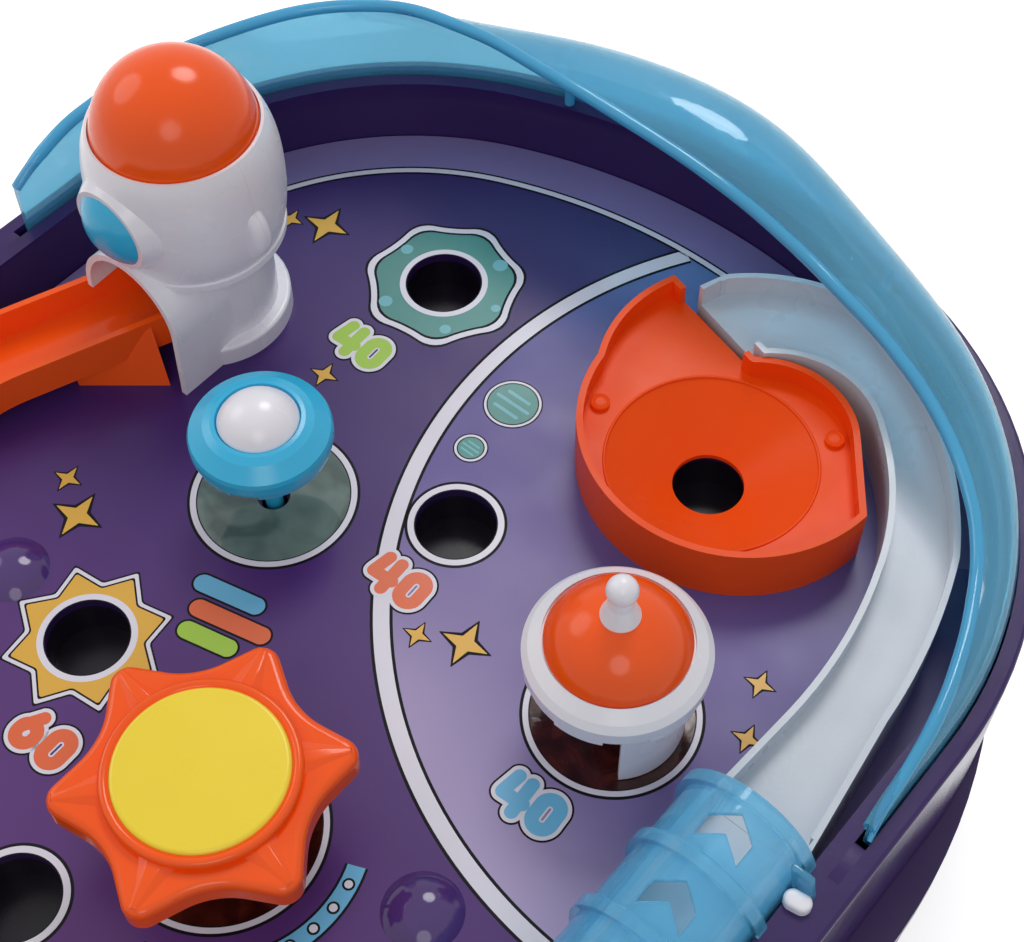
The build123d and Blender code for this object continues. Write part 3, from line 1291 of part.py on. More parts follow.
def speaker():
    """A shallow cone loudspeaker behind the slots."""
    top = CONSOLE_HEIGHT - CONSOLE_WALL - FACE_GAP
    body = turned_profile([(0, -7), (6, -7), (6, -4), (13, -1.6), (14, -1.6), (14, 0), (12, 0), (4, -2.6), (0, -2.6)])
    return Pos(SPEAKER_X, CONTROL_Y, top) * body


# Everything, by node

def build_parts():
    parts = {
        "upper_housing": upper_housing(), "lower_housing": lower_housing(), "playfield_deck": deck(),
        "visor": visor(), "drain_tray": drain_tray(), "lamp_lens_left": lamp_lens(-1),
        "lamp_lens_right": lamp_lens(1), "funnel": funnel(), "launch_track": launch_track(),
        "lane_ramp": lane_ramp(), "tube_cover": tube_cover(), "rocket_shell_front": rocket_half(-1),
        "rocket_shell_rear": rocket_half(1), "rocket_nose": rocket_nose(), "rocket_window": rocket_window(),
        "rocket_chute": rocket_chute(), "mushroom_disc": bumper_disc(*MUSHROOM, PLATE_RADIUS, STEM_HOLE),
        "mushroom_stem": bumper_stem(*MUSHROOM, MUSHROOM_LOW + 9.9), "mushroom_cap": mushroom_cap(),
        "mushroom_dome": mushroom_dome(), "sun_disc": bumper_disc(*SUN, SUN_PLATE_RADIUS, STEM_HOLE),
        "sun_stem": bumper_stem(*SUN, STAR_HIGH - FACE_GAP), "sun_star": sun_star(), "sun_face": sun_face(),
        "saucer_disc": bumper_disc(*SAUCER, PLATE_RADIUS, SPINDLE_RADIUS + 2 + FACE_GAP),
        "saucer_spindle": saucer_spindle(), "saucer_wall": saucer_wall(), "saucer_ring": saucer_ring(),
        "saucer_dome": saucer_dome(), "saucer_knob": saucer_knob(), "slingshots": slingshots(),
        "flipper_guides": flipper_guides(), "plunger_rod": plunger_rod(), "plunger_knob": plunger_knob(),
        "plunger_tip": plunger_tip(), "plunger_bushing": plunger_bushing(), "plunger_spring": plunger_spring(),
        "steel_ball": steel_ball(), "console_cover": console_cover(), "display_lens": display_lens(),
        "power_switch": power_switch(), "start_button": start_button(), "speaker": speaker(),
        "circuit_board": circuit_board(), "battery_door": battery_door(), "batteries": batteries(),
        "rubber_feet": rubber_feet(), "screws": screws(),
    }
    cups = [*HOLES, (FUNNEL_X, FUNNEL_Y)]
    for i, (x, y) in enumerate(cups):
        parts[f"ball_cup_{i + 1}"] = ball_cup(x, y)
    for side, name in ((-1, "left"), (1, "right")):
        parts[f"flipper_{name}"] = flipper(side)
        parts[f"flipper_rubber_{name}"] = flipper_rubber(side)
        parts[f"flipper_button_{name}"] = flipper_button(side)
    return parts


def finished(parts):
    """Tilts every part to the playfield's slope and centres the whole on the origin."""
    level = {name: to_row(shape) for name, shape in parts.items()}
    low = [min(tuple(s.bounding_box().min)[i] for s in level.values()) for i in range(3)]
    high = [max(tuple(s.bounding_box().max)[i] for s in level.values()) for i in range(3)]
    shift = (-(low[0] + high[0]) / 2, -(low[1] + high[1]) / 2, -low[2])
    print("shift to the centred frame:", [round(v, 4) for v in shift], "lift", round(LIFT, 4))
    print("overall size:", [round(b - a, 2) for a, b in zip(low, high)])
    return {name: Pos(*shift) * shape for name, shape in level.items()}


os.makedirs("parts", exist_ok=True)
for name, shape in finished(build_parts()).items():
    export_step(shape, f"parts/{name}.step")
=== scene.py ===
import json
import math

import bmesh
import bpy
from mathutils import Matrix, Vector


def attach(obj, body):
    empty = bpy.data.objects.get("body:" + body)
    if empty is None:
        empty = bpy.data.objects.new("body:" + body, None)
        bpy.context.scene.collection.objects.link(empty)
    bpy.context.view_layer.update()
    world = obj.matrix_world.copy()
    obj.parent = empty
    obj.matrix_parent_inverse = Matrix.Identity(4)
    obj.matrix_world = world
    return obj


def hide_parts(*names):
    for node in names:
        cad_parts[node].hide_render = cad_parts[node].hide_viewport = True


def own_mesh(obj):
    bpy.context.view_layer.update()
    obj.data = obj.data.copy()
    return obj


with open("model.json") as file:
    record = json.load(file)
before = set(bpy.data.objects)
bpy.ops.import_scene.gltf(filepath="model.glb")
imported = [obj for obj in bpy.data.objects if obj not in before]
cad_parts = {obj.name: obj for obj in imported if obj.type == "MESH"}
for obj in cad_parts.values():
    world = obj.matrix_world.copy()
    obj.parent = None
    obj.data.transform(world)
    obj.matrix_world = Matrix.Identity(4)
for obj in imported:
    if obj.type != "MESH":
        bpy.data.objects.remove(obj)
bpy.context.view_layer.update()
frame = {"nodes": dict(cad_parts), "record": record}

# The deck's own frame, in which the new pieces are measured and shaped

# In millimetres: Z is 0 on the deck's top, Y is 0 at the rear of its arch, and X is 0 on its centre line
MM = 0.001

# The game stands tilted by the slope of its playfield
SLOPE = math.radians(5)
TILT = Matrix.Rotation(SLOPE, 3, "X")
DECK_ORIGIN = Vector((0, 0.2318495, 0.0852694))


def metres(*sizes):
    """Sizes or a place given in millimetres, in metres."""
    return tuple(size * MM for size in sizes)


def on_deck(x, y, z):
    """A point of the deck's frame as a place in the game's own frame, in metres."""
    return TILT @ Vector(metres(x, y, z)) + DECK_ORIGIN


# Camera

# Its place in the deck's frame, the way it looks, and its roll in degrees
CAMERA_PLACE = (206.5, -346.0, 432.74)
CAMERA_LOOK = Vector((-0.3756, 0.4321, -0.8199))
CAMERA_ROLL = -0.79
CAMERA_LENS, CAMERA_SENSOR = 63.07, 36


def set_camera():
    bpy.ops.object.camera_add(location=on_deck(*CAMERA_PLACE))
    camera = bpy.context.object
    camera.name = "camera"
    aim = CAMERA_LOOK.to_track_quat("-Z", "Y").to_matrix()
    roll = Matrix.Rotation(math.radians(CAMERA_ROLL), 3, "Z")
    camera.rotation_euler = (TILT @ aim @ roll).to_euler()
    camera.data.sensor_width = CAMERA_SENSOR
    camera.data.lens = CAMERA_LENS
    camera.data.clip_end = 20
    bpy.context.scene.camera = camera


# Lamps, sky and floor

# All lamps aim at the middle of the game
LAMP_AIM = Vector((0, 0, 0.08))

# Each lamp has a name, a place and a size in metres, and a power
LAMPS = [
    ("softbox_rear", (-0.35, 0.75, 1.30), 0.55, 6.5),
    ("softbox_front", (0.9, -1.0, 1.35), 0.9, 5),
    ("softbox_left", (-1.3, -0.3, 1.0), 0.9, 4),
]

FLOOR_SIZE, FLOOR_GREY = 8, 0.8

# The sky and the floor look brighter than they shine
SKY_LIGHT, SKY_SEEN, FLOOR_SEEN = 0.42, 1.0, 0.62


def hang_lamps():
    for name, place, size, power in LAMPS:
        bpy.ops.object.light_add(type="AREA", location=place)
        lamp = bpy.context.object
        lamp.name = name
        lamp.data.shape = "DISK"
        lamp.data.size = size
        lamp.data.energy = power
        lamp.rotation_euler = (LAMP_AIM - Vector(place)).to_track_quat("-Z", "Y").to_euler()


def join_math(tree, operation, first, second):
    node = tree.nodes.new("ShaderNodeMath")
    node.operation = operation
    tree.links.new(first, node.inputs[0])
    tree.links.new(second, node.inputs[1])
    return node.outputs[0]


def spread(tree, value, low, high, start=0.3, end=0.7):
    """A value from start to end, drawn out to run from low to high."""
    band = tree.nodes.new("ShaderNodeMapRange")
    band.inputs["From Min"].default_value = start
    band.inputs["From Max"].default_value = end
    band.inputs["To Min"].default_value = low
    band.inputs["To Max"].default_value = high
    tree.links.new(value, band.inputs["Value"])
    return band.outputs["Result"]


def seen_rays(tree, low, high):
    """A high value for what the camera sees, also in shine or through clear plastic, else a low one."""
    path = tree.nodes.new("ShaderNodeLightPath")
    seen = join_math(tree, "MAXIMUM", path.outputs["Is Camera Ray"], path.outputs["Is Glossy Ray"])
    seen = join_math(tree, "MAXIMUM", seen, path.outputs["Is Transmission Ray"])
    return spread(tree, seen, low, high, 0, 1)


def light_sky():
    """A plain white world all round."""
    world = bpy.data.worlds.new("studio_white")
    bpy.context.scene.world = world
    world.use_nodes = True
    tree = world.node_tree
    tree.nodes.clear()
    sky = tree.nodes.new("ShaderNodeBackground")
    sky.inputs["Color"].default_value = (1, 1, 1, 1)
    tree.links.new(seen_rays(tree, SKY_LIGHT, SKY_SEEN), sky.inputs["Strength"])
    out = tree.nodes.new("ShaderNodeOutputWorld")
    tree.links.new(sky.outputs["Background"], out.inputs["Surface"])


def lay_floor():
    """A plain pale table that keeps the game's shadow."""
    bpy.ops.mesh.primitive_plane_add(size=FLOOR_SIZE, location=(0, 0, 0))
    floor = bpy.context.object
    floor.name = "table_top"
    paint = bpy.data.materials.new("pale_table")
    paint.use_nodes = True
    tree = paint.node_tree
    tree.nodes.clear()
    glow = tree.nodes.new("ShaderNodeEmission")
    tree.links.new(seen_rays(tree, 0, FLOOR_SEEN), glow.inputs["Strength"])
    matt = tree.nodes.new("ShaderNodeBsdfDiffuse")
    matt.inputs["Color"].default_value = (FLOOR_GREY, FLOOR_GREY, FLOOR_GREY, 1)
    both = tree.nodes.new("ShaderNodeAddShader")
    tree.links.new(glow.outputs[0], both.inputs[0])
    tree.links.new(matt.outputs[0], both.inputs[1])
    out = tree.nodes.new("ShaderNodeOutputMaterial")
    tree.links.new(both.outputs[0], out.inputs["Surface"])
    floor.data.materials.append(paint)


# Plastics, rubber, metal and print

def colour_of(red, green, blue):
    """A colour from its screen values, 0 to 255."""
    parts = [c / 255 for c in (red, green, blue)]
    return tuple(p / 12.92 if p <= 0.04045 else ((p + 0.055) / 1.055) ** 2.4 for p in parts) + (1,)


def shaded(colour, factor):
    """A colour made darker or lighter by a factor."""
    return tuple(min(1, c * factor) for c in colour[:3]) + (1,)


def start_finish(name):
    """A new material with its shader and the piece's own coordinates."""
    finish = bpy.data.materials.new(name)
    finish.use_nodes = True
    tree = finish.node_tree
    shader = tree.nodes["Principled BSDF"]
    place = tree.nodes.new("ShaderNodeTexCoord").outputs["Object"]
    return finish, tree, shader, place


def speckle(tree, place, scale, detail, swirl=0.0):
    """A cloudy pattern, or a swirled one."""
    noise = tree.nodes.new("ShaderNodeTexNoise")
    noise.inputs["Scale"].default_value = scale
    noise.inputs["Detail"].default_value = detail
    noise.inputs["Distortion"].default_value = swirl
    tree.links.new(place, noise.inputs["Vector"])
    return noise.outputs["Fac"]


def between(tree, factor, first, second):
    """Two colours mixed by a factor, each a fixed colour or one that the tree works out."""
    mix = tree.nodes.new("ShaderNodeMix")
    mix.data_type = "RGBA"
    tree.links.new(factor, mix.inputs[0])
    for socket, colour in ((mix.inputs[6], first), (mix.inputs[7], second)):
        if isinstance(colour, tuple):
            socket.default_value = colour
        else:
            tree.links.new(colour, socket)
    return mix.outputs[2]


def mottle(tree, shader, place, colour, scale, detail, vary):
    """Faint flow marks in the colour."""
    flow = spread(tree, speckle(tree, place, scale, detail), 0, 1)
    tint = between(tree, flow, shaded(colour, 1 - vary), shaded(colour, 1 + vary))
    tree.links.new(tint, shader.inputs["Base Color"])


def gloss(tree, shader, place, scale, low, high):
    """A roughness that wanders between two values."""
    tree.links.new(spread(tree, speckle(tree, place, scale, 2), low, high), shader.inputs["Roughness"])


def ripple(tree, shader, value, strength, distance):
    """Small ups and downs of the skin."""
    bump = tree.nodes.new("ShaderNodeBump")
    bump.inputs["Strength"].default_value = strength
    bump.inputs["Distance"].default_value = distance
    tree.links.new(value, bump.inputs["Height"])
    tree.links.new(bump.outputs["Normal"], shader.inputs["Normal"])


def moulded(name, colour, rough, vary=0.07, grain=900, bump=0.05, shine=0.5):
    """Moulded plastic: faint flow marks in the colour, uneven gloss and a fine orange-peel skin."""
    finish, tree, shader, place = start_finish(name)
    mottle(tree, shader, place, colour, 22, 4, vary)
    gloss(tree, shader, place, 60, rough * 0.85, rough * 1.2)
    ripple(tree, shader, speckle(tree, place, grain, 2), bump, 0.0004)
    shader.inputs["Specular IOR Level"].default_value = shine
    return finish


def clear_plastic(name, colour, clearness, alpha=1.0, rough=0.05):
    """Clear tinted plastic with slight waves from the mould; a lower clearness is milkier."""
    finish, tree, shader, place = start_finish(name)
    mottle(tree, shader, place, colour, 14, 3, 0.06)
    gloss(tree, shader, place, 45, rough * 0.6, rough * 1.6)
    ripple(tree, shader, speckle(tree, place, 30, 1), 0.05, 0.002)
    shader.inputs["Transmission Weight"].default_value = clearness
    shader.inputs["Alpha"].default_value = alpha
    shader.inputs["IOR"].default_value = 1.45
    return finish


def swirled_plastic(name, dark, light, scale):
    """A dim plate over a lamp: cloudy plastic with darker swirls in it."""
    finish, tree, shader, place = start_finish(name)
    swirl = speckle(tree, place, scale, 2, swirl=2.2)
    tint = between(tree, spread(tree, swirl, 0, 1, 0.38, 0.62), dark, light)
    tree.links.new(tint, shader.inputs["Base Color"])
    gloss(tree, shader, place, 50, 0.06, 0.14)
    ripple(tree, shader, swirl, 0.1, 0.001)
    shader.inputs["Transmission Weight"].default_value = 0.2
    return finish


def metal(name, colour, rough):
    """Polished metal with fine scratches."""
    finish, tree, shader, place = start_finish(name)
    worn = speckle(tree, place, 120, 5)
    tint = between(tree, spread(tree, worn, 0, 1), shaded(colour, 0.88), shaded(colour, 1.08))
    tree.links.new(tint, shader.inputs["Base Color"])
    tree.links.new(spread(tree, worn, rough * 0.7, rough * 1.4), shader.inputs["Roughness"])
    ripple(tree, shader, speckle(tree, place, 1800, 2), 0.04, 0.0003)
    shader.inputs["Metallic"].default_value = 1.0
    return finish


# The housing's plastic
PURPLE = colour_of(52, 30, 90)


# The printed sky: a great arc parts a deep violet from a blue that fades to lavender, and the blue's fade
# also holds painted light and shade

SKY_CENTRE, SKY_RADIUS = (112.0, -88.0), 135.0
SKY_REAR, SKY_FRONT = -20.0, -300.0

# A stop is a share of the way from the sky's rear to its front, and a colour
# The inner stops are partly print and partly painted light: the rear is lighter and bluer against the visor's
# shadow, the middle darker as painted shade of the funnel, and the front lighter against the shade there
INNER_SKY_WITH_PAINTED_LIGHT = [
    (0.0, colour_of(96, 128, 182)), (0.22, colour_of(84, 80, 146)), (0.45, colour_of(104, 88, 152)),
    (0.75, colour_of(194, 178, 212)), (1.0, colour_of(206, 190, 222)),
]
OUTER_SKY = [(0.0, colour_of(50, 36, 96)), (0.5, colour_of(68, 38, 108)), (1.0, colour_of(94, 54, 120))]


def fade(tree, value, stops):
    """A colour that runs through several stops as a value goes from 0 to 1."""
    ramp = tree.nodes.new("ShaderNodeValToRGB")
    tree.links.new(value, ramp.inputs["Fac"])
    points = ramp.color_ramp.elements
    points[0].position, points[0].color = stops[0]
    points[1].position, points[1].color = stops[-1]
    for position, colour in stops[1:-1]:
        points.new(position).color = colour
    return ramp.outputs["Color"]


def outside_arc(tree, parts):
    """0 inside the great arc of the sky and 1 outside it."""
    flat = tree.nodes.new("ShaderNodeCombineXYZ")
    for axis in "XY":
        tree.links.new(parts.outputs[axis], flat.inputs[axis])
    away = tree.nodes.new("ShaderNodeVectorMath")
    away.operation = "DISTANCE"
    tree.links.new(flat.outputs["Vector"], away.inputs[0])
    away.inputs[1].default_value = metres(*SKY_CENTRE, 0)
    return spread(tree, away.outputs["Value"], 0, 1, *metres(SKY_RADIUS - 0.2, SKY_RADIUS + 0.2))


def print_finish():
    """The sky on the deck's top face, its inner fade partly painted light and shade, and plain dark plastic
    on its edges and underside.
    """
    finish, tree, shader, place = start_finish("printed_deck")
    level = tree.nodes.new("ShaderNodeMapping")
    level.vector_type = "TEXTURE"
    level.inputs["Location"].default_value = DECK_ORIGIN
    level.inputs["Rotation"].default_value = (SLOPE, 0, 0)
    tree.links.new(place, level.inputs["Vector"])
    parts = tree.nodes.new("ShaderNodeSeparateXYZ")
    tree.links.new(level.outputs["Vector"], parts.inputs["Vector"])
    forward = spread(tree, parts.outputs["Y"], 0, 1, *metres(SKY_REAR, SKY_FRONT))
    drift = join_math(tree, "ADD", forward, spread(tree, speckle(tree, place, 6, 2), -0.07, 0.07))
    sky = between(tree, outside_arc(tree, parts), fade(tree, drift, INNER_SKY_WITH_PAINTED_LIGHT), fade(tree, drift, OUTER_SKY))
    top = spread(tree, parts.outputs["Z"], 0, 1, *metres(-0.12, -0.06))
    tree.links.new(between(tree, top, shaded(PURPLE, 0.75), sky), shader.inputs["Base Color"])
    gloss(tree, shader, place, 40, 0.28, 0.4)
    ripple(tree, shader, speckle(tree, place, 1200, 2), 0.04, 0.0003)
    shader.inputs["Specular IOR Level"].default_value = 0.3
    return finish


# The finishes of the object's pieces, by slot or by shade

DARK_RED, LIGHT_RED = colour_of(46, 16, 14), colour_of(84, 32, 24)
DARK_GREEN, LIGHT_GREEN = colour_of(88, 110, 106), colour_of(120, 142, 136)
BELLY = colour_of(60, 38, 92)

finishes = {
    "dark_purple": moulded("dark_purple_plastic", PURPLE, 0.2, shine=0.3),
    # The ball cups take a near-black copy of the housing's purple: painted shade for the dark inside of the
    # holes
    "shaded_cup": moulded("cup_painted_shade_plastic", colour_of(20, 12, 28), 0.3, 0.15, shine=0.3),
    "belly_purple": moulded("belly_purple_plastic", BELLY, 0.3, 0.04, grain=1600, bump=0.02, shine=0.35),
    "clear_blue": clear_plastic("clear_blue_plastic", colour_of(112, 206, 240), 0.66, 0.86),
    "tube_blue": clear_plastic("tube_blue_plastic", colour_of(118, 214, 255), 0.66, 0.76),
    "bead_blue": clear_plastic("bead_blue_plastic", colour_of(84, 198, 246), 0.4),
    "orange": moulded("orange_plastic", colour_of(255, 90, 16), 0.16, 0.04, shine=0.3),
    "funnel_orange": moulded("funnel_orange_plastic", colour_of(242, 80, 14), 0.3, 0.04, shine=0.12),
    "yellow": moulded("yellow_plastic", colour_of(246, 216, 52), 0.3, 0.03),
    "white": moulded("white_plastic", colour_of(240, 238, 245), 0.26, 0.03),
    # The track and the lane ramp take a dimmer, bluer copy of the white plastic: painted shade and tint from
    # the visor over them
    "visor_shaded_white": moulded("visor_shaded_white_plastic", colour_of(198, 205, 215), 0.3, 0.015),
    "light_blue": moulded("light_blue_plastic", colour_of(50, 180, 224), 0.25, 0.05),
    "black": moulded("black_plastic", colour_of(24, 23, 26), 0.35, 0.15),
    "smoky_red": swirled_plastic("smoky_red_plastic", DARK_RED, LIGHT_RED, 70),
    "smoky_green": swirled_plastic("smoky_green_plastic", DARK_GREEN, LIGHT_GREEN, 40),
    "clear_purple": clear_plastic("clear_purple_plastic", colour_of(96, 62, 140), 0.35, rough=0.06),
    "steel": metal("polished_steel", (0.62, 0.62, 0.63, 1), 0.25),
    "rubber": moulded("soft_rubber", colour_of(44, 42, 46), 0.62, 0.12, 2500, 0.2),
    "board_green": moulded("circuit_board_green", colour_of(26, 92, 52), 0.4, 0.15),
    "display": moulded("dark_display", colour_of(18, 12, 14), 0.12, 0.1),
    "deck_print": print_finish(),
}

INKS = {
    "black": moulded("black_ink", colour_of(10, 7, 16), 0.5, 0.1, shine=0.15),
    "white": moulded("white_ink", colour_of(222, 218, 230), 0.34, 0.03),
    "yellow": moulded("mustard_ink", colour_of(222, 170, 60), 0.34, 0.04),
    "orange": moulded("orange_ink", colour_of(226, 100, 52), 0.34, 0.04),
    "blue": moulded("sky_blue_ink", colour_of(104, 180, 220), 0.34, 0.04),
    "green": moulded("lime_ink", colour_of(160, 200, 60), 0.34, 0.04),
    "teal": moulded("teal_ink", colour_of(62, 134, 128), 0.34, 0.12),
    "pale_teal": moulded("pale_teal_ink", colour_of(104, 176, 186), 0.34, 0.05),
    "red": moulded("lit_red_ink", colour_of(255, 60, 30), 0.4, 0.04),
    # The edge strip's violet print is lightened: painted light against the rim's shadow over it
    "edge": moulded("edge_violet_ink_with_painted_light", colour_of(132, 120, 172), 0.34, 0.05),
}

# A word in a CAD node's name, and the shade of its slot's finish that it takes; the ball cups' near-black and
# the track's dim white are painted shade
SPECIAL_FINISH = [
    ("ball_cup", "shaded_cup"), ("funnel", "funnel_orange"), ("track", "visor_shaded_white"),
    ("lane_ramp", "visor_shaded_white"), ("tube", "tube_blue"),
]


def paint_nodes():
    """Every carried-over node takes the finish of its slot, or its own shade of it."""
    for part in frame["record"]["subparts"]:
        piece = frame["nodes"][part["node"]]
        piece.data.materials.clear()
        kind = part["material_slot"]
        for word, other in SPECIAL_FINISH:
            if word in part["node"]:
                kind = other
        piece.data.materials.append(finishes[kind])


# Making and placing new pieces

# Less than this, in metres, is nothing
FINE = 0.00001


def begin():
    """Leaves nothing selected, so that an operator acts on the new piece alone."""
    if bpy.context.object and bpy.context.object.mode != "OBJECT":
        bpy.ops.object.mode_set(mode="OBJECT")
    bpy.ops.object.select_all(action="DESELECT")


def choose(piece):
    """Selects one piece alone."""
    begin()
    piece.select_set(True)
    bpy.context.view_layer.objects.active = piece


def edit(piece):
    """Enters edit mode with all of a piece selected."""
    bpy.context.view_layer.objects.active = piece
    piece.select_set(True)
    bpy.ops.object.mode_set(mode="EDIT")
    bpy.context.tool_settings.mesh_select_mode = (True, False, False)
    bpy.ops.mesh.select_all(action="SELECT")


def pick(piece, by_face, test):
    """Selects the points or the faces of a piece in edit mode for which a test holds, and nothing else."""
    net = bmesh.from_edit_mesh(piece.data)
    bpy.context.tool_settings.mesh_select_mode = (not by_face, False, by_face)
    for kind in (net.faces, net.edges, net.verts):
        for item in kind:
            item.select = False
    for item in net.faces if by_face else net.verts:
        item.select = bool(test(item))
    net.select_flush_mode()
    bmesh.update_edit_mesh(piece.data)


def pick_points(piece, test):
    """Selects the points whose place passes a test."""
    pick(piece, False, lambda point: test(point.co))


def pick_faces(piece, test):
    """Selects the faces whose centre and normal pass a test."""
    pick(piece, True, lambda face: test(face.calc_center_median(), face.normal))


def pick_top(piece):
    pick_faces(piece, lambda centre, normal: normal.z > 0.9)


def raise_shape(height):
    """Gives a flat shape in edit mode its thickness upwards."""
    bpy.context.tool_settings.mesh_select_mode = (True, False, False)
    bpy.ops.mesh.select_all(action="SELECT")
    bpy.ops.mesh.extrude_region_move(TRANSFORM_OT_translate={"value": metres(0, 0, height)})
    bpy.ops.mesh.select_all(action="SELECT")
    bpy.ops.mesh.normals_make_consistent(inside=False)
    bpy.ops.object.mode_set(mode="OBJECT")


def finish_edit(smooth):
    """Turns the faces outwards, leaves edit mode and smooths all edges flatter than an angle in degrees."""
    bpy.ops.mesh.select_all(action="SELECT")
    bpy.ops.mesh.normals_make_consistent(inside=False)
    bpy.ops.object.mode_set(mode="OBJECT")
    bpy.ops.object.shade_smooth_by_angle(angle=math.radians(smooth))


def set_down(piece, name, finish, body="housing"):
    """Names and paints a finished piece, tilts it with the deck, and puts its place in its mesh."""
    piece.name = name
    piece.data.name = name
    piece.data.materials.clear()
    piece.data.materials.append(finish)
    choose(piece)
    bpy.ops.object.transform_apply(location=True, rotation=True, scale=True)
    piece.rotation_euler = (SLOPE, 0, 0)
    piece.location = DECK_ORIGIN
    bpy.ops.object.transform_apply(location=True, rotation=True, scale=True)
    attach(piece, body)


def join(pieces):
    """Several shapes as one piece."""
    begin()
    for piece in pieces:
        piece.select_set(True)
    bpy.context.view_layer.objects.active = pieces[0]
    if len(pieces) > 1:
        bpy.ops.object.join()
    return bpy.context.object


def again(piece):
    """A copy of a piece, with a mesh of its own."""
    choose(piece)
    bpy.ops.object.duplicate(linked=False)
    return bpy.context.object


def set_copies(model, spots, name, finish, body="housing"):
    """Sets copies of a shape modelled at the origin down at their spots, and removes the model.

    A spot is a label, a place in the deck's frame, a turn in degrees and a scale in the plane. The finish is
    one for all, or one by label.
    """
    for label, place, turn, grow in spots:
        piece = again(model)
        piece.location = metres(*place)
        piece.rotation_euler = (0, 0, math.radians(turn))
        piece.scale = (grow, grow, 1)
        set_down(piece, f"{name}_{label}", finish[label] if isinstance(finish, dict) else finish, body)
    choose(model)
    bpy.ops.object.delete()


# Ink that is printed on the deck: thin raised films, each colour a little higher than the one under it

BLACK_INK, WHITE_INK, COLOUR_INK, TOP_INK = 0.05, 0.09, 0.13, 0.17

# Steps between films that lie on one level
THIN, THINNER = 0.02, 0.01


def start_circle(x, y, radius, sides, fill="NGON"):
    """A flat circle in edit mode, all selected."""
    begin()
    bpy.ops.mesh.primitive_circle_add(
        vertices=sides, radius=radius * MM, fill_type=fill, location=metres(x, y, 0))
    piece = bpy.context.object
    edit(piece)
    return piece


def turn_flat(piece, turn):
    """Turns a flat shape about its own origin, in degrees."""
    piece.rotation_euler = (0, 0, math.radians(turn))
    bpy.ops.object.transform_apply(location=False, rotation=True, scale=False)
    return piece


def ink_disc(x, y, radius, height, sides=72):
    piece = start_circle(x, y, radius, sides)
    raise_shape(height)
    return piece


def ink_ring(x, y, inner, outer, height, first=0, last=360, sides=120):
    """A printed ring, or the part of one between two angles."""
    piece = start_circle(x, y, inner, sides, "NOTHING")
    bpy.ops.mesh.extrude_region_move()
    grow = outer / inner
    bpy.ops.transform.resize(value=(grow, grow, 1), center_override=metres(x, y, 0))
    if last - first < 360:
        def beyond(centre, _):
            angle = math.degrees(math.atan2(centre.y, centre.x)) % 360
            return not (first <= angle <= last or first <= angle - 360 <= last)
        pick_faces(piece, beyond)
        bpy.ops.mesh.delete(type="FACE")
    raise_shape(height)
    return piece


def ink_star(reach, waist, points, height, turn=0.0, soften=0.0, hole=0.0):
    """A printed star at the origin: a many-sided disc or ring whose every other outer corner is drawn in."""
    piece = start_circle(0, 0, hole or reach, 2 * points, "NOTHING" if hole else "NGON")
    if hole:
        bpy.ops.mesh.extrude_region_move()
        bpy.ops.transform.resize(value=(reach / hole, reach / hole, 1), center_override=(0, 0, 0))
    step = math.pi / points

    def inner_corner(place):
        return place.length > (hole + 1) * MM and round(math.atan2(place.x, place.y) / step) % 2 == 1

    pick_points(piece, inner_corner)
    bpy.ops.transform.resize(value=(waist, waist, 1), center_override=(0, 0, 0))
    if soften:
        bpy.ops.mesh.bevel(offset=soften * MM, segments=5, affect="VERTICES")
        pick_points(piece, lambda place: place.length > 0.985 * reach * MM)
        bpy.ops.mesh.bevel(offset=soften * MM, segments=5, affect="VERTICES")
    raise_shape(height)
    return turn_flat(piece, turn)


def ink_bar(x, y, length, width, height, turn):
    """A printed bar with round ends."""
    piece = start_circle(x, y, width / 2, 32)
    pick_points(piece, lambda place: place.x > FINE)
    bpy.ops.transform.translate(value=metres(length, 0, 0))
    raise_shape(height)
    return turn_flat(piece, turn)


# The deck's outline: straight sides, two shoulders and a wide arch at the rear

DECK_HALF_WIDTH, ARCH_RADIUS, SHOULDER_RADIUS = 149.4, 200.2, 117.3
SHOULDER_X = DECK_HALF_WIDTH - SHOULDER_RADIUS
SHOULDER_Y = -ARCH_RADIUS + math.sqrt((ARCH_RADIUS - SHOULDER_RADIUS) ** 2 - SHOULDER_X**2)

# The angle from the rear, in degrees, at which the arch meets a shoulder
JOIN = 90 - math.degrees(math.atan2(SHOULDER_Y + ARCH_RADIUS, SHOULDER_X))
ARCH_LENGTH = ARCH_RADIUS * math.radians(JOIN)

# The border runs from the front of the left side round to an angle on the right shoulder
BORDER_FRONT, BORDER_END = -398.0, 57.0

# Each bend on its way has a centre and an angle
BENDS = [
    (-SHOULDER_X, SHOULDER_Y, 90 - JOIN),
    (0, -ARCH_RADIUS, 2 * JOIN),
    (SHOULDER_X, SHOULDER_Y, BORDER_END - JOIN),
]


def ink_edge(inner, outer, height):
    """A printed stripe between two insets from the deck's edge: a plane spun round bend after bend."""
    middle, wide = DECK_HALF_WIDTH - (inner + outer) / 2, outer - inner
    long = SHOULDER_Y - BORDER_FRONT
    begin()
    bpy.ops.mesh.primitive_plane_add(size=1, location=metres(-middle, BORDER_FRONT + long / 2, 0))
    stripe = bpy.context.object
    edit(stripe)
    bpy.ops.transform.resize(value=(wide * MM, long * MM, 1))
    pick_points(stripe, lambda place: place.y > 0)
    for x, y, angle in BENDS:
        bpy.ops.mesh.spin(
            steps=round(angle / 2), angle=math.radians(angle), center=metres(x, y, 0), axis=(0, 0, 1))
    raise_shape(height)
    return stripe


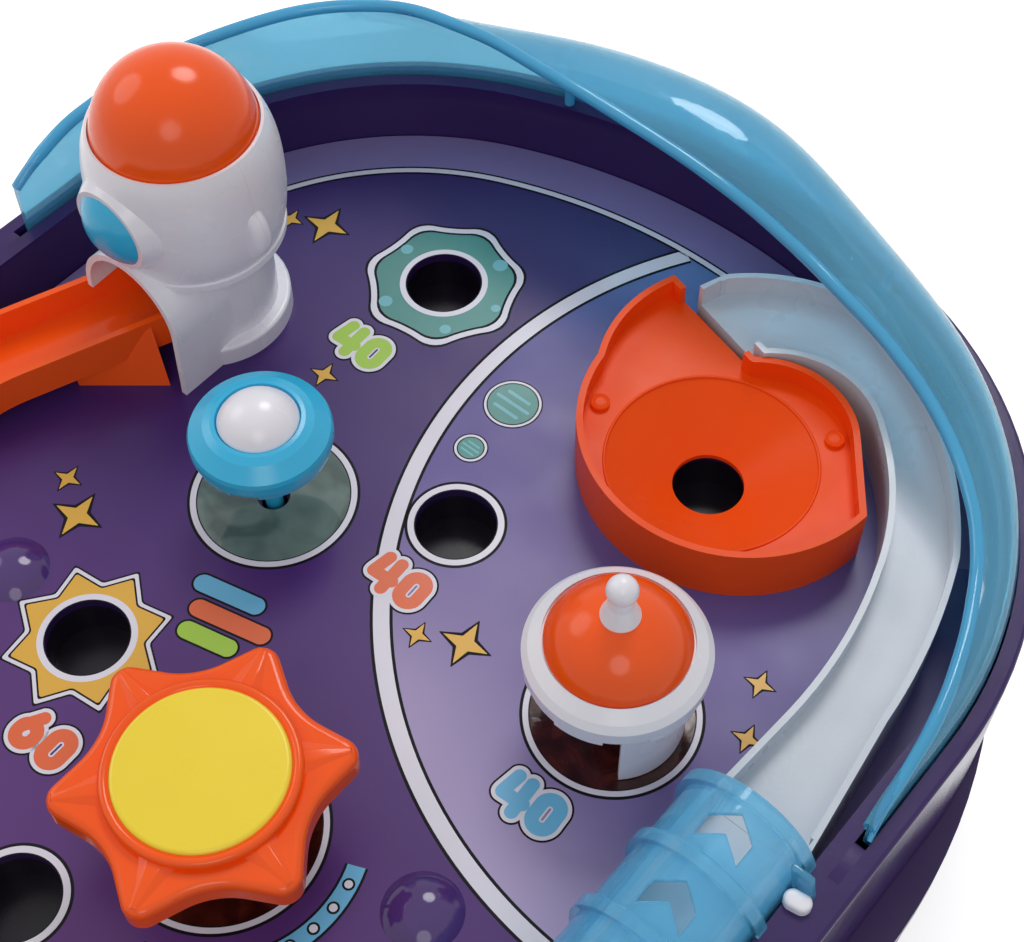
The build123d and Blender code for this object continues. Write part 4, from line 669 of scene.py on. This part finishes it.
def along_rim(distance, offset):
    """A place beside the deck's edge, for a distance along it from the rear, positive to the right."""
    side = 1 if distance > 0 else -1
    far = abs(distance)
    if far <= ARCH_LENGTH:
        around = far / ARCH_RADIUS
        radius = ARCH_RADIUS + offset
        return side * radius * math.sin(around), -ARCH_RADIUS + radius * math.cos(around)
    around = math.radians(JOIN) + (far - ARCH_LENGTH) / SHOULDER_RADIUS
    if around <= math.pi / 2:
        radius = SHOULDER_RADIUS + offset
        return side * (SHOULDER_X + radius * math.sin(around)), SHOULDER_Y + radius * math.cos(around)
    return side * (DECK_HALF_WIDTH + offset), SHOULDER_Y - (around - math.pi / 2) * SHOULDER_RADIUS


# Printed numbers, made of strokes and loops

DIGIT_WIDTH, DIGIT_STEP, DIGIT_SCALE = 3.5, 9.0, 1.1
NUMBER_LINE, NUMBER_BACK = 1.5, 1.0

# Each stroke is a hair higher than the one before, so that no two tops coincide
HAIR = 0.006

# A stroke has two ends
DIGIT_STROKES = {
    "0": [],
    "4": [((2.0, -4.3), (2.0, 4.3)), ((-2.9, -0.9), (-1.9, 4.3)), ((-2.9, -1.2), (3.0, -1.2))],
    "6": [((-2.4, -0.8), (0.6, 4.0))],
}

# A loop has the height of its lower centre, a radius and a length
DIGIT_LOOPS = {"0": [(-1.6, 2.5, 3.2)], "4": [], "6": [(-1.7, 2.5, 0.5)]}


def ink_stroke(ends, width, height):
    """One stroke of a digit: a bar with round ends between two places."""
    (ax, ay), (bx, by) = ends
    length, turn = math.hypot(bx - ax, by - ay), math.degrees(math.atan2(by - ay, bx - ax))
    return ink_bar(ax, ay, length, width, height, turn)


def ink_loop(y, radius, long, width, height):
    """A ring drawn out upwards, as in a nought."""
    piece = ink_ring(0, y, max(radius - width / 2, 0.3), radius + width / 2, height, sides=48)
    edit(piece)
    pick_points(piece, lambda place: place.y > FINE)
    bpy.ops.transform.translate(value=metres(0, long, 0))
    bpy.ops.object.mode_set(mode="OBJECT")
    return piece


def ink_number(digits, grow, height):
    """Two bold digits at the origin, grown all round for the outlines under them."""
    shapes = []
    width = DIGIT_WIDTH + 2 * grow
    for place, digit in enumerate(digits):
        strokes = []
        for number, ends in enumerate(DIGIT_STROKES[digit]):
            strokes.append(ink_stroke(ends, width, height + HAIR * number))
        strokes += [ink_loop(*loop, width, height - HAIR) for loop in DIGIT_LOOPS[digit]]
        letter = join(strokes)
        bpy.ops.object.transform_apply(location=True, rotation=True, scale=True)
        letter.location.x = (place - 0.5) * DIGIT_STEP * MM
        shapes.append(letter)
    piece = join(shapes)
    bpy.ops.object.transform_apply(location=True, rotation=True, scale=True)
    return piece


def print_numbers(digits, places):
    """One number at several places, each with its own ink and turn: black line, white band and digits."""
    spots = [(label, (x, y, 0), turn, DIGIT_SCALE) for label, x, y, turn, _ in places]
    paints = {label: INKS[ink] for label, _, _, _, ink in places}
    line = ink_number(digits, NUMBER_LINE, BLACK_INK + THINNER)
    set_copies(line, spots, "number_line", INKS["black"])
    back = ink_number(digits, NUMBER_BACK, WHITE_INK + THINNER)
    set_copies(back, spots, "number_back", INKS["white"])
    set_copies(ink_number(digits, 0.0, COLOUR_INK), spots, "number", paints)


# Printed sparkles, rings and stars

SPARKLE_REACH, SPARKLE_LINE_REACH, SPARKLE_TURN = 10.0, 12.0, 12
RING_LINE_INSIDE, RING_LINE_OUTSIDE = 0.35, 0.85
STAR_HOLE = 13.0


def print_sparkles(places):
    """Four-pointed sparkles in their black outlines, each with a place and a reach."""
    spots = [(label, (x, y, 0), 0, reach / SPARKLE_REACH) for label, x, y, reach in places]
    line = ink_star(SPARKLE_LINE_REACH, 0.43, 4, BLACK_INK, SPARKLE_TURN, soften=0.5)
    set_copies(line, spots, "sparkle_line", INKS["black"])
    star = ink_star(SPARKLE_REACH, 0.36, 4, WHITE_INK, SPARKLE_TURN, soften=0.4)
    set_copies(star, spots, "sparkle", INKS["yellow"])


def print_rings(places, inner, outer):
    """White rings in black outlines round holes and bumpers."""
    spots = [(label, (x, y, 0), 0, 1) for label, x, y in places]
    line = ink_ring(0, 0, inner - RING_LINE_INSIDE, outer + RING_LINE_OUTSIDE, BLACK_INK)
    set_copies(line, spots, "ring_line", INKS["black"])
    set_copies(ink_ring(0, 0, inner, outer, WHITE_INK), spots, "ring", INKS["white"])


def print_star(name, place, layers, waist, points, turn, soften):
    """A star round a hole in layers: each has a label, an ink and a reach, and lies a little higher."""
    for number, (label, ink, reach) in enumerate(layers):
        star = ink_star(reach, waist, points, BLACK_INK + THINNER * (number - 1), turn, soften, STAR_HOLE)
        star.location = metres(*place, 0)
        set_down(star, f"{name}_{label}", INKS[ink])


# Each disc under a planet's face has a height, its reach beyond the face, and an ink
PLANET_LAYERS = [(BLACK_INK, 1.5, "black"), (WHITE_INK - THIN, 1.1, "white"), (WHITE_INK, 0.35, "black")]

# Each band has a place and a length, as shares of the planet's radius
PLANET_BANDS = [(-0.45, 1.1), (0.0, 1.5), (0.4, 1.0)]
BAND_WIDTH = 0.16


def print_planet(label, x, y, radius):
    """A small banded disc: white ring between two black lines, teal face and three pale bands."""
    for height, grow, ink in PLANET_LAYERS:
        disc = ink_disc(x, y, radius + grow, height)
        set_down(disc, f"planet_{ink}_{label}_{round(grow * 10)}", INKS[ink])
    set_down(ink_disc(x, y, radius, COLOUR_INK - THIN), f"planet_{label}", INKS["teal"])
    for number, (low, long) in enumerate(PLANET_BANDS):
        left = x - long * radius / 2
        band = ink_bar(left, y + low * radius, long * radius, BAND_WIDTH * radius, TOP_INK - THIN, 0)
        set_down(band, f"planet_band_{label}_{number + 1}", INKS["pale_teal"])


# Where the printed things are, and how large

HOLES = [(-55.5, -76.3), (8.0, -142.6), (-45.4, -236.4), (-2.7, -299.1)]
MUSHROOM, SAUCER, SUN = (-39.2, -169.4), (80.4, -161.2), (23.6, -252.3)

# A ring has an inner and an outer radius
HOLE_RING, MUSHROOM_RING, SAUCER_RING, SUN_RING = (12.15, 14.0), (22.65, 24.4), (22.65, 24.2), (26.65, 28.2)

# Each stripe of the border has a name, an ink, two insets and a height
BORDER = [
    ("edge_strip", "edge", 0.4, 15.4, BLACK_INK), ("border_line", "black", 14.9, 18.1, WHITE_INK - THIN),
    ("border", "white", 15.6, 17.4, WHITE_INK),
]

# The sky's arc runs between two angles; each of its films has a name, an ink, half its width and a height
ARC_FIRST, ARC_LAST = 148, 272
ARC = [("sky_arc_line", "black", 3.2, BLACK_INK), ("sky_arc", "white", 2.3, WHITE_INK - THIN)]

# Each layer of a star has a label, an ink and a reach
SCALLOP = [
    ("line", "black", 28.0), ("back", "white", 27.1), ("inner_line", "black", 24.9), ("face", "teal", 24.0),
]
RAYS = [
    ("line", "black", 24.6), ("back", "white", 23.8), ("inner_line", "black", 22.2), ("face", "yellow", 21.4),
]

# Each spot has a place from the hole and a radius
SCALLOP_SPOTS = [(9, 17, 2.4), (-18.5, 3, 2.0), (13, -14, 1.8), (-9, -17.5, 2.2), (19.5, 2.5, 1.5)]

# A planet has a label, a place and a radius
PLANETS = [("near_funnel", -7.5, -99.0, 7.6), ("small", -6.5, -119.5, 3.8)]

# Each bar has an ink, the place of its left end and a length
BARS = [("blue", -33.4, -203.4, 17), ("orange", -28.4, -209.9, 20), ("green", -25.9, -216.9, 13)]
BAR_WIDTH, BAR_LINE, BAR_TURN = 5.6, 0.65, 14

# Each film of the dotted strip has a name, an ink, two radii, a height and two angles
DOT_STRIP = [
    ("dot_strip_line", "black", 34.1, 40.3, BLACK_INK, -78.2, 24.2),
    ("dot_strip", "blue", 34.8, 39.6, WHITE_INK - THIN, -77, 23),
]
DOTS, DOT_CIRCLE, DOT_FIRST, DOT_STEP = 9, 37.2, 16, -11
DOT_RADIUS, DOT_LINE_RADIUS = 1.1, 1.7

# A number has a label, a place, a turn and an ink
FORTIES = [
    ("rear", -58.0, -112.0, 3, "green"), ("middle", 8.5, -167.5, 3, "orange"),
    ("right", 80.5, -195.5, 4, "blue"),
]
SIXTIES = [("left", -31.0, -265.0, 2, "orange"), ("front", 24.0, -315.0, 2, "green")]

# A sparkle has a label, a place and a reach
SPARKLES = [
    ("1", -101, -82.5, 7.5), ("2", -112, -88, 4.2), ("3", -59, -127.5, 4.4), ("4", -78, -211, 7.5),
    ("5", -90, -204, 4.4), ("6", 36, -170.5, 7.0), ("7", 24, -177, 4.0), ("8", 105.5, -128.5, 4.2),
    ("9", 112.5, -144, 4.2), ("10", -40, -312, 6.6), ("11", -30, -326, 4.0), ("12", 62, -300, 4.4),
    ("13", 8, -344, 6.6), ("14", -14, -352, 4.0),
]


def print_border():
    """A pale strip along the deck's edge, its print lightened with painted light against the rim's shadow,
    and a white line between two black ones inside it.
    """
    for name, ink, inner, outer, height in BORDER:
        set_down(ink_edge(inner, outer, height), name, INKS[ink])


def print_sky_arc():
    """The great arc between the two skies."""
    for name, ink, half, height in ARC:
        arc = ink_ring(*SKY_CENTRE, SKY_RADIUS - half, SKY_RADIUS + half, height, ARC_FIRST, ARC_LAST, 240)
        set_down(arc, name, INKS[ink])


def print_scallop():
    """A scalloped teal disc with pale spots round the rear hole."""
    print_star("scallop", HOLES[0], SCALLOP, waist=0.84, points=7, turn=8, soften=5.0)
    spots = []
    for number, (x, y, size) in enumerate(SCALLOP_SPOTS):
        spots.append((str(number + 1), (HOLES[0][0] + x, HOLES[0][1] + y, 0), 0, size))
    set_copies(ink_disc(0, 0, 1, WHITE_INK - THINNER, 32), spots, "scallop_spot", INKS["pale_teal"])


def print_bars():
    """Three bars in a row beside the left hole."""
    for ink, x, y, long in BARS:
        line = ink_bar(x, y, long, BAR_WIDTH + 2 * BAR_LINE, BLACK_INK, BAR_TURN)
        set_down(line, f"bar_line_{ink}", INKS["black"])
        set_down(ink_bar(x, y, long, BAR_WIDTH, WHITE_INK, BAR_TURN), f"bar_{ink}", INKS[ink])


def print_dot_strip():
    """A blue strip with white dots round the front of the sun bumper."""
    for name, ink, *shape in DOT_STRIP:
        set_down(ink_ring(*SUN, *shape), name, INKS[ink])
    spots = []
    for number in range(DOTS):
        around = math.radians(DOT_FIRST + DOT_STEP * number)
        place = (SUN[0] + DOT_CIRCLE * math.cos(around), SUN[1] + DOT_CIRCLE * math.sin(around), 0)
        spots.append((str(number + 1), place, 0, 1))
    set_copies(ink_disc(0, 0, DOT_LINE_RADIUS, WHITE_INK, 24), spots, "dot_line", INKS["black"])
    set_copies(ink_disc(0, 0, DOT_RADIUS, COLOUR_INK, 24), spots, "dot", INKS["white"])


def print_deck():
    """Everything that is printed on the deck."""
    print_border()
    print_sky_arc()
    print_rings([(f"hole_{number + 1}", x, y) for number, (x, y) in enumerate(HOLES)], *HOLE_RING)
    print_rings([("mushroom", *MUSHROOM)], *MUSHROOM_RING)
    print_rings([("saucer", *SAUCER)], *SAUCER_RING)
    print_rings([("sun", *SUN)], *SUN_RING)
    print_scallop()
    for planet in PLANETS:
        print_planet(*planet)
    print_star("rays", HOLES[2], RAYS, waist=0.74, points=8, turn=11, soften=0.8)
    print_bars()
    print_dot_strip()
    print_numbers("40", FORTIES)
    print_numbers("60", SIXTIES)
    print_sparkles(SPARKLES)


# Spring round the plunger's rod: a wound wire with a flat dead turn at each end

SPRING_AXIS = (132.0, 9.5)
SPRING_FRONT, SPRING_REAR = -401.35, -365.15
SPRING_TURNS, SPRING_WIRE, SPRING_RADIUS = 9, 0.6, 5.0
SPRING_SMOOTH = 40


def wind_spring():
    """A ring wound up along the rod by a screw, its ends closed, and a flat turn of wire at each end."""
    long = SPRING_REAR - SPRING_FRONT
    begin()
    bpy.ops.mesh.primitive_circle_add(
        vertices=10, radius=SPRING_WIRE * MM, location=metres(SPRING_RADIUS, 0, 0))
    coil = bpy.context.object
    bpy.ops.object.transform_apply(location=True, rotation=False, scale=False)
    winding = coil.modifiers.new("winding", "SCREW")
    winding.axis = "Y"
    winding.angle = math.radians(360)
    winding.iterations = SPRING_TURNS
    winding.screw_offset = long / SPRING_TURNS * MM
    winding.steps = winding.render_steps = 28
    bpy.ops.object.modifier_apply(modifier="winding")
    edit(coil)
    bpy.ops.mesh.remove_doubles(threshold=FINE / 2)
    bpy.ops.mesh.select_non_manifold()
    bpy.ops.mesh.edge_face_add()
    finish_edit(SPRING_SMOOTH)
    parts = [coil]
    for end in (0, long):
        begin()
        bpy.ops.mesh.primitive_torus_add(
            major_segments=56, minor_segments=10, major_radius=SPRING_RADIUS * MM,
            minor_radius=SPRING_WIRE * MM, location=metres(0, end, 0), rotation=(math.radians(90), 0, 0))
        bpy.ops.object.transform_apply(location=True, rotation=True, scale=False)
        parts.append(bpy.context.object)
    spring = join(parts)
    bpy.ops.object.shade_smooth_by_angle(angle=math.radians(SPRING_SMOOTH))
    spring.location = metres(SPRING_AXIS[0], SPRING_FRONT, SPRING_AXIS[1])
    set_down(spring, "wound_spring", finishes["steel"])
    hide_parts("plunger_spring")
    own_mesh(spring)


# Visor: the bead along its lip, two posts behind it and the fillers in its slots

# A station of the lip has a distance along the rim, an offset from the deck's edge and a height
LIP = [
    (-249.6, 5.4, 40.0), (-238, 5.4, 46.0), (-219, 5.4, 50.0), (-170, 5.3, 52.0), (-123, 3.5, 53.0),
    (-92, -8.5, 55.0), (-61, -20.0, 56.0), (-30, -26.0, 55.0), (14, -28.0, 52.0), (45, -25.0, 46.0),
    (70, -23.0, 43.0), (96, -19.0, 40.0), (123, -13.0, 36.0), (146, -8.0, 33.0), (163, -5.0, 31.0),
    (181, -3.0, 30.0), (200, -0.5, 30.0), (217, 2.5, 29.5), (233, 4.5, 28.4), (245, 5.7, 26.4),
    (251.5, 7.0, 23.2),
]
BEAD = 4.0

# The bead is thinner towards both ends: a station's number, and its share of the full thickness
BEAD_TAPER = [(0, 0.6), (-3, 0.85), (-2, 0.6), (-1, 0.35)]


def draw_bead():
    """The round bead along the visor's lip."""
    begin()
    bpy.ops.curve.primitive_bezier_curve_add(location=(0, 0, 0))
    line = bpy.context.object
    points = line.data.splines[0].bezier_points
    points.add(len(LIP) - 2)
    for point, (far, out, high) in zip(points, LIP):
        point.co = metres(*along_rim(far, out), high)
        point.handle_left_type = point.handle_right_type = "AUTO"
    for number, share in BEAD_TAPER:
        points[number].radius = share
    line.data.bevel_depth = BEAD / 2 * MM
    line.data.bevel_resolution = 4
    line.data.resolution_u = 10
    line.data.use_fill_caps = True
    bpy.ops.object.convert(target="MESH")
    bead = bpy.context.object
    edit(bead)
    finish_edit(50)
    set_down(bead, "visor_bead", finishes["bead_blue"])


# The posts' distance along the rim, their offset from the deck's edge and their height
POST_RIM, POST_OUT, POST_LEVEL = 61.5, 2.7, 27.0
POST_RADIUS, POST_HEIGHT, POST_FOOT = 1.6, 8.0, 0.6


def stand_posts():
    """Short clear posts on the rim behind the visor's lip, each with a flared base and a rounded top."""
    begin()
    bpy.ops.mesh.primitive_cylinder_add(
        vertices=32, radius=POST_RADIUS * MM, depth=POST_HEIGHT * MM, location=(0, 0, 0))
    post = bpy.context.object
    edit(post)
    pick_top(post)
    bpy.ops.mesh.bevel(offset=POST_RADIUS / 2 * MM, segments=5)
    pick_faces(post, lambda centre, normal: normal.z < -0.9)
    bpy.ops.mesh.extrude_region_move(TRANSFORM_OT_translate={"value": metres(0, 0, -POST_FOOT)})
    bpy.ops.transform.resize(value=(1.2, 1.2, 1))
    finish_edit(50)
    spots = []
    for label, far in (("left", -POST_RIM), ("right", POST_RIM)):
        spots.append((label, (*along_rim(far, POST_OUT), POST_LEVEL), 0, 1))
    set_copies(post, spots, "visor_post", finishes["bead_blue"])


FILLER_REAR, FILLER_FRONT, FILLER_LEVEL, FILLER_OUT = -160.2, -172.4, 21.6, 6.0
FILLER_WIDTH, FILLER_DEPTH = 3.2, 2.78


def fill_slots():
    """Strips of the rim's plastic that close the visor's slots beyond the visor's feet."""
    begin()
    bpy.ops.mesh.primitive_cube_add(size=1, location=(0, 0, 0))
    strip = bpy.context.object
    edit(strip)
    bpy.ops.transform.resize(value=metres(FILLER_WIDTH, FILLER_REAR - FILLER_FRONT, FILLER_DEPTH))
    pick_faces(strip, lambda centre, normal: abs(normal.y) > 0.9)
    bpy.ops.mesh.bevel(offset=0.4 * MM, segments=3)
    finish_edit(30)
    x, y = DECK_HALF_WIDTH + FILLER_OUT, (FILLER_REAR + FILLER_FRONT) / 2
    spots = [("right", (x, y, FILLER_LEVEL), 0, 1), ("left", (-x, y, FILLER_LEVEL), 0, 1)]
    set_copies(strip, spots, "slot_filler", finishes["dark_purple"])


# Funnel: two screw covers, and the fine raised line where its shelf turns down into its cone

# A cover has a label, a place, a turn and a scale
COVERS = [("left", (18.5, -90.0, 13.2), 0, 1), ("right", (78.6, -57.0, 13.2), 0, 1)]
COVER_RADIUS, COVER_DEPTH = 2.9, 2.2

# Each step of a cover's top has a width and a rise
COVER_STEPS = [(0.45, 0.2), (0.4, -0.2), (0.7, 0.15)]

CONE_CENTRE, CONE_RADIUS, CONE_LINE = (55.8, -85.6, 12.95), 30.8, 0.5


def cover_screws():
    """Low orange buttons whose tops rise and sink in steps, to a rolled edge and a shallow ring."""
    begin()
    bpy.ops.mesh.primitive_cylinder_add(
        vertices=40, radius=COVER_RADIUS * MM, depth=COVER_DEPTH * MM, location=(0, 0, 0))
    cover = bpy.context.object
    edit(cover)
    pick_top(cover)
    for inwards, rise in COVER_STEPS:
        bpy.ops.mesh.inset(thickness=inwards * MM)
        bpy.ops.transform.translate(value=metres(0, 0, rise))
    finish_edit(12)
    set_copies(cover, COVERS, "funnel_screw_cover", finishes["funnel_orange"])


def line_cone():
    """A ring whose lower half is drawn down into the funnel."""
    begin()
    bpy.ops.mesh.primitive_torus_add(
        major_segments=96, minor_segments=10, major_radius=CONE_RADIUS * MM, minor_radius=CONE_LINE * MM,
        location=metres(*CONE_CENTRE))
    bead = bpy.context.object
    edit(bead)
    pick_points(bead, lambda place: place.z < -0.2 * MM)
    bpy.ops.transform.translate(value=metres(0, 0, -0.3))
    finish_edit(60)
    set_down(bead, "funnel_cone_bead", finishes["funnel_orange"])


# Tube: the white peg at its rear corner and the clear tab that comes down behind the peg

PEG_PLACE, PEG_RADIUS, PEG_DEPTH, PEG_SHIFT = (151.0, -182.4, 24.2), 2.5, 3.4, (2.2, 0.4, 0)
TAB_PLACE, TAB_SIZE, TAB_LEAN = (151.6, -178.6, 26.4), (6.4, 2.0, 7.0), (-2.0, 1.0, 0)


def clip_peg():
    """A stub with rounded edges, longer than wide."""
    begin()
    bpy.ops.mesh.primitive_cylinder_add(
        vertices=32, radius=PEG_RADIUS * MM, depth=PEG_DEPTH * MM, location=metres(*PEG_PLACE))
    peg = bpy.context.object
    edit(peg)
    pick_points(peg, lambda place: place.x > 0.1 * MM)
    bpy.ops.transform.translate(value=metres(*PEG_SHIFT))
    pick_top(peg)
    bpy.ops.mesh.bevel(offset=1.1 * MM, segments=5)
    finish_edit(50)
    set_down(peg, "tube_clip_peg", finishes["white"])


def clip_tab():
    """A small plate with rounded edges that leans back at the top."""
    begin()
    bpy.ops.mesh.primitive_cube_add(size=1, location=metres(*TAB_PLACE))
    tab = bpy.context.object
    edit(tab)
    bpy.ops.transform.resize(value=metres(*TAB_SIZE))
    pick_top(tab)
    bpy.ops.transform.translate(value=metres(*TAB_LEAN))
    bpy.ops.mesh.select_all(action="SELECT")
    bpy.ops.mesh.bevel(offset=0.7 * MM, segments=4)
    finish_edit(40)
    set_down(tab, "tube_clip_tab", finishes["tube_blue"])


# Sun bumper: a rolled ring round its face and a ridge along each of its arms

ROLL_LEVEL, ROLL_RADIUS, ROLL = 34.1, 23.7, 3.0
ARMS, ARM_TURN, ARM_REACH, ARM_LEVEL = 6, -10, 30.6, 32.6
RIDGE_SIZE = (13.6, 15.0, 2.4)


def roll_ring():
    """The rounded roll between the star and its yellow face, flattened on top."""
    begin()
    bpy.ops.mesh.primitive_torus_add(
        major_segments=96, minor_segments=16, major_radius=ROLL_RADIUS * MM, minor_radius=ROLL / 2 * MM,
        location=metres(*SUN, ROLL_LEVEL))
    ring = bpy.context.object
    edit(ring)
    pick_points(ring, lambda place: place.z > 1.1 * MM)
    bpy.ops.transform.resize(value=(1.004, 1.004, 0.6))
    finish_edit(60)
    set_down(ring, "star_roll", finishes["orange"], "sun_bumper")


def ridge_arms():
    """Low leaf-shaped ridges from the roll to the arms' tips: a block drawn in at its top and its tip."""
    begin()
    bpy.ops.mesh.primitive_cube_add(size=1, location=(0, 0, 0))
    ridge = bpy.context.object
    edit(ridge)
    bpy.ops.transform.resize(value=metres(*RIDGE_SIZE))
    pick_points(ridge, lambda place: place.x > 0)
    bpy.ops.transform.resize(value=(1, 0.3, 1))
    pick_points(ridge, lambda place: place.z > 0)
    bpy.ops.transform.resize(value=(0.94, 0.22, 1))
    pick_points(ridge, lambda place: place.z > 0 and place.x > 0)
    bpy.ops.transform.translate(value=metres(-0.6, 0, -1.0))
    pick_top(ridge)
    bpy.ops.mesh.bevel(offset=0.3 * MM, segments=3)
    finish_edit(35)
    spots = []
    for number in range(ARMS):
        turn = ARM_TURN + 360 / ARMS * number
        around = math.radians(turn)
        place = (SUN[0] + ARM_REACH * math.cos(around), SUN[1] + ARM_REACH * math.sin(around), ARM_LEVEL)
        spots.append((str(number + 1), place, turn, 1))
    set_copies(ridge, spots, "star_ridge", finishes["orange"], "sun_bumper")


# Console: ON and OFF beside the switch, two frames, and the display's lit digits

CONSOLE_TOP, CONTROL_Y = 25.0, -421.0
DISPLAY_X, DISPLAY_STEP, DISPLAY_SUNK = -16.0, 8.0, 0.6
SWITCH_X, ON_X, OFF_X = 60.5, 72.4, 49.0
WORD_SIZE, WORD_FILM, FRAME_FILM = 3.8, 0.04, 0.06

# Each bar of a nought has a place and a turn
BAR_LONG, BAR_WIDE = 3.0, 0.9
NOUGHT = [
    (-1.5, -4.0, 0), (-1.5, 4.0, 0), (-2.1, -3.5, 90), (-2.1, 0.5, 90), (2.1, -3.5, 90), (2.1, 0.5, 90),
]


def print_word(label, words, x):
    """A plain word printed on the console."""
    begin()
    bpy.ops.object.text_add(location=metres(x, CONTROL_Y, CONSOLE_TOP + WORD_FILM))
    word = bpy.context.object
    word.data.body = words
    word.data.size = WORD_SIZE * MM
    word.data.align_x = "CENTER"
    word.data.align_y = "CENTER"
    word.data.extrude = WORD_FILM * MM
    bpy.ops.object.convert(target="MESH")
    set_down(bpy.context.object, f"word_{label}", INKS["white"])


def frame_line(label, x, wide, deep, thick):
    """A thin printed frame with rounded corners."""
    begin()
    bpy.ops.mesh.primitive_plane_add(size=1, location=metres(x, CONTROL_Y, CONSOLE_TOP))
    line = bpy.context.object
    edit(line)
    bpy.ops.transform.resize(value=(wide * MM, deep * MM, 1))
    bpy.ops.mesh.bevel(offset=2.6 * MM, segments=6, affect="VERTICES")
    bpy.ops.mesh.select_all(action="SELECT")
    bpy.ops.mesh.inset(thickness=thick * MM)
    bpy.ops.mesh.delete(type="FACE")
    raise_shape(FRAME_FILM)
    set_down(line, f"frame_line_{label}", INKS["blue"])


def light_digits():
    """Three noughts of the display: one made of bars, and two copies of it."""
    bars = []
    for x, y, turn in NOUGHT:
        bars.append(ink_bar(DISPLAY_X + x, CONTROL_Y + y, BAR_LONG, BAR_WIDE, BLACK_INK, turn))
    nought = join(bars)
    noughts = [nought]
    for shift in (-DISPLAY_STEP, DISPLAY_STEP):
        copy = again(nought)
        copy.location.x += shift * MM
        noughts.append(copy)
    digits = join(noughts)
    digits.location.z += (CONSOLE_TOP - DISPLAY_SUNK) * MM
    set_down(digits, "display_digits", INKS["red"])


def print_console():
    print_word("on", "ON", ON_X)
    print_word("off", "OFF", OFF_X)
    frame_line("display", DISPLAY_X, wide=66.0, deep=23.0, thick=0.7)
    frame_line("switch", SWITCH_X, wide=35.0, deep=12.0, thick=0.6)
    light_digits()


# The scene

set_camera()
hang_lamps()
light_sky()
lay_floor()
bpy.context.scene.view_settings.view_transform = "Standard"
paint_nodes()
print_deck()
wind_spring()
draw_bead()
stand_posts()
fill_slots()
cover_screws()
line_cone()
clip_peg()
clip_tab()
roll_ring()
ridge_arms()
print_console()
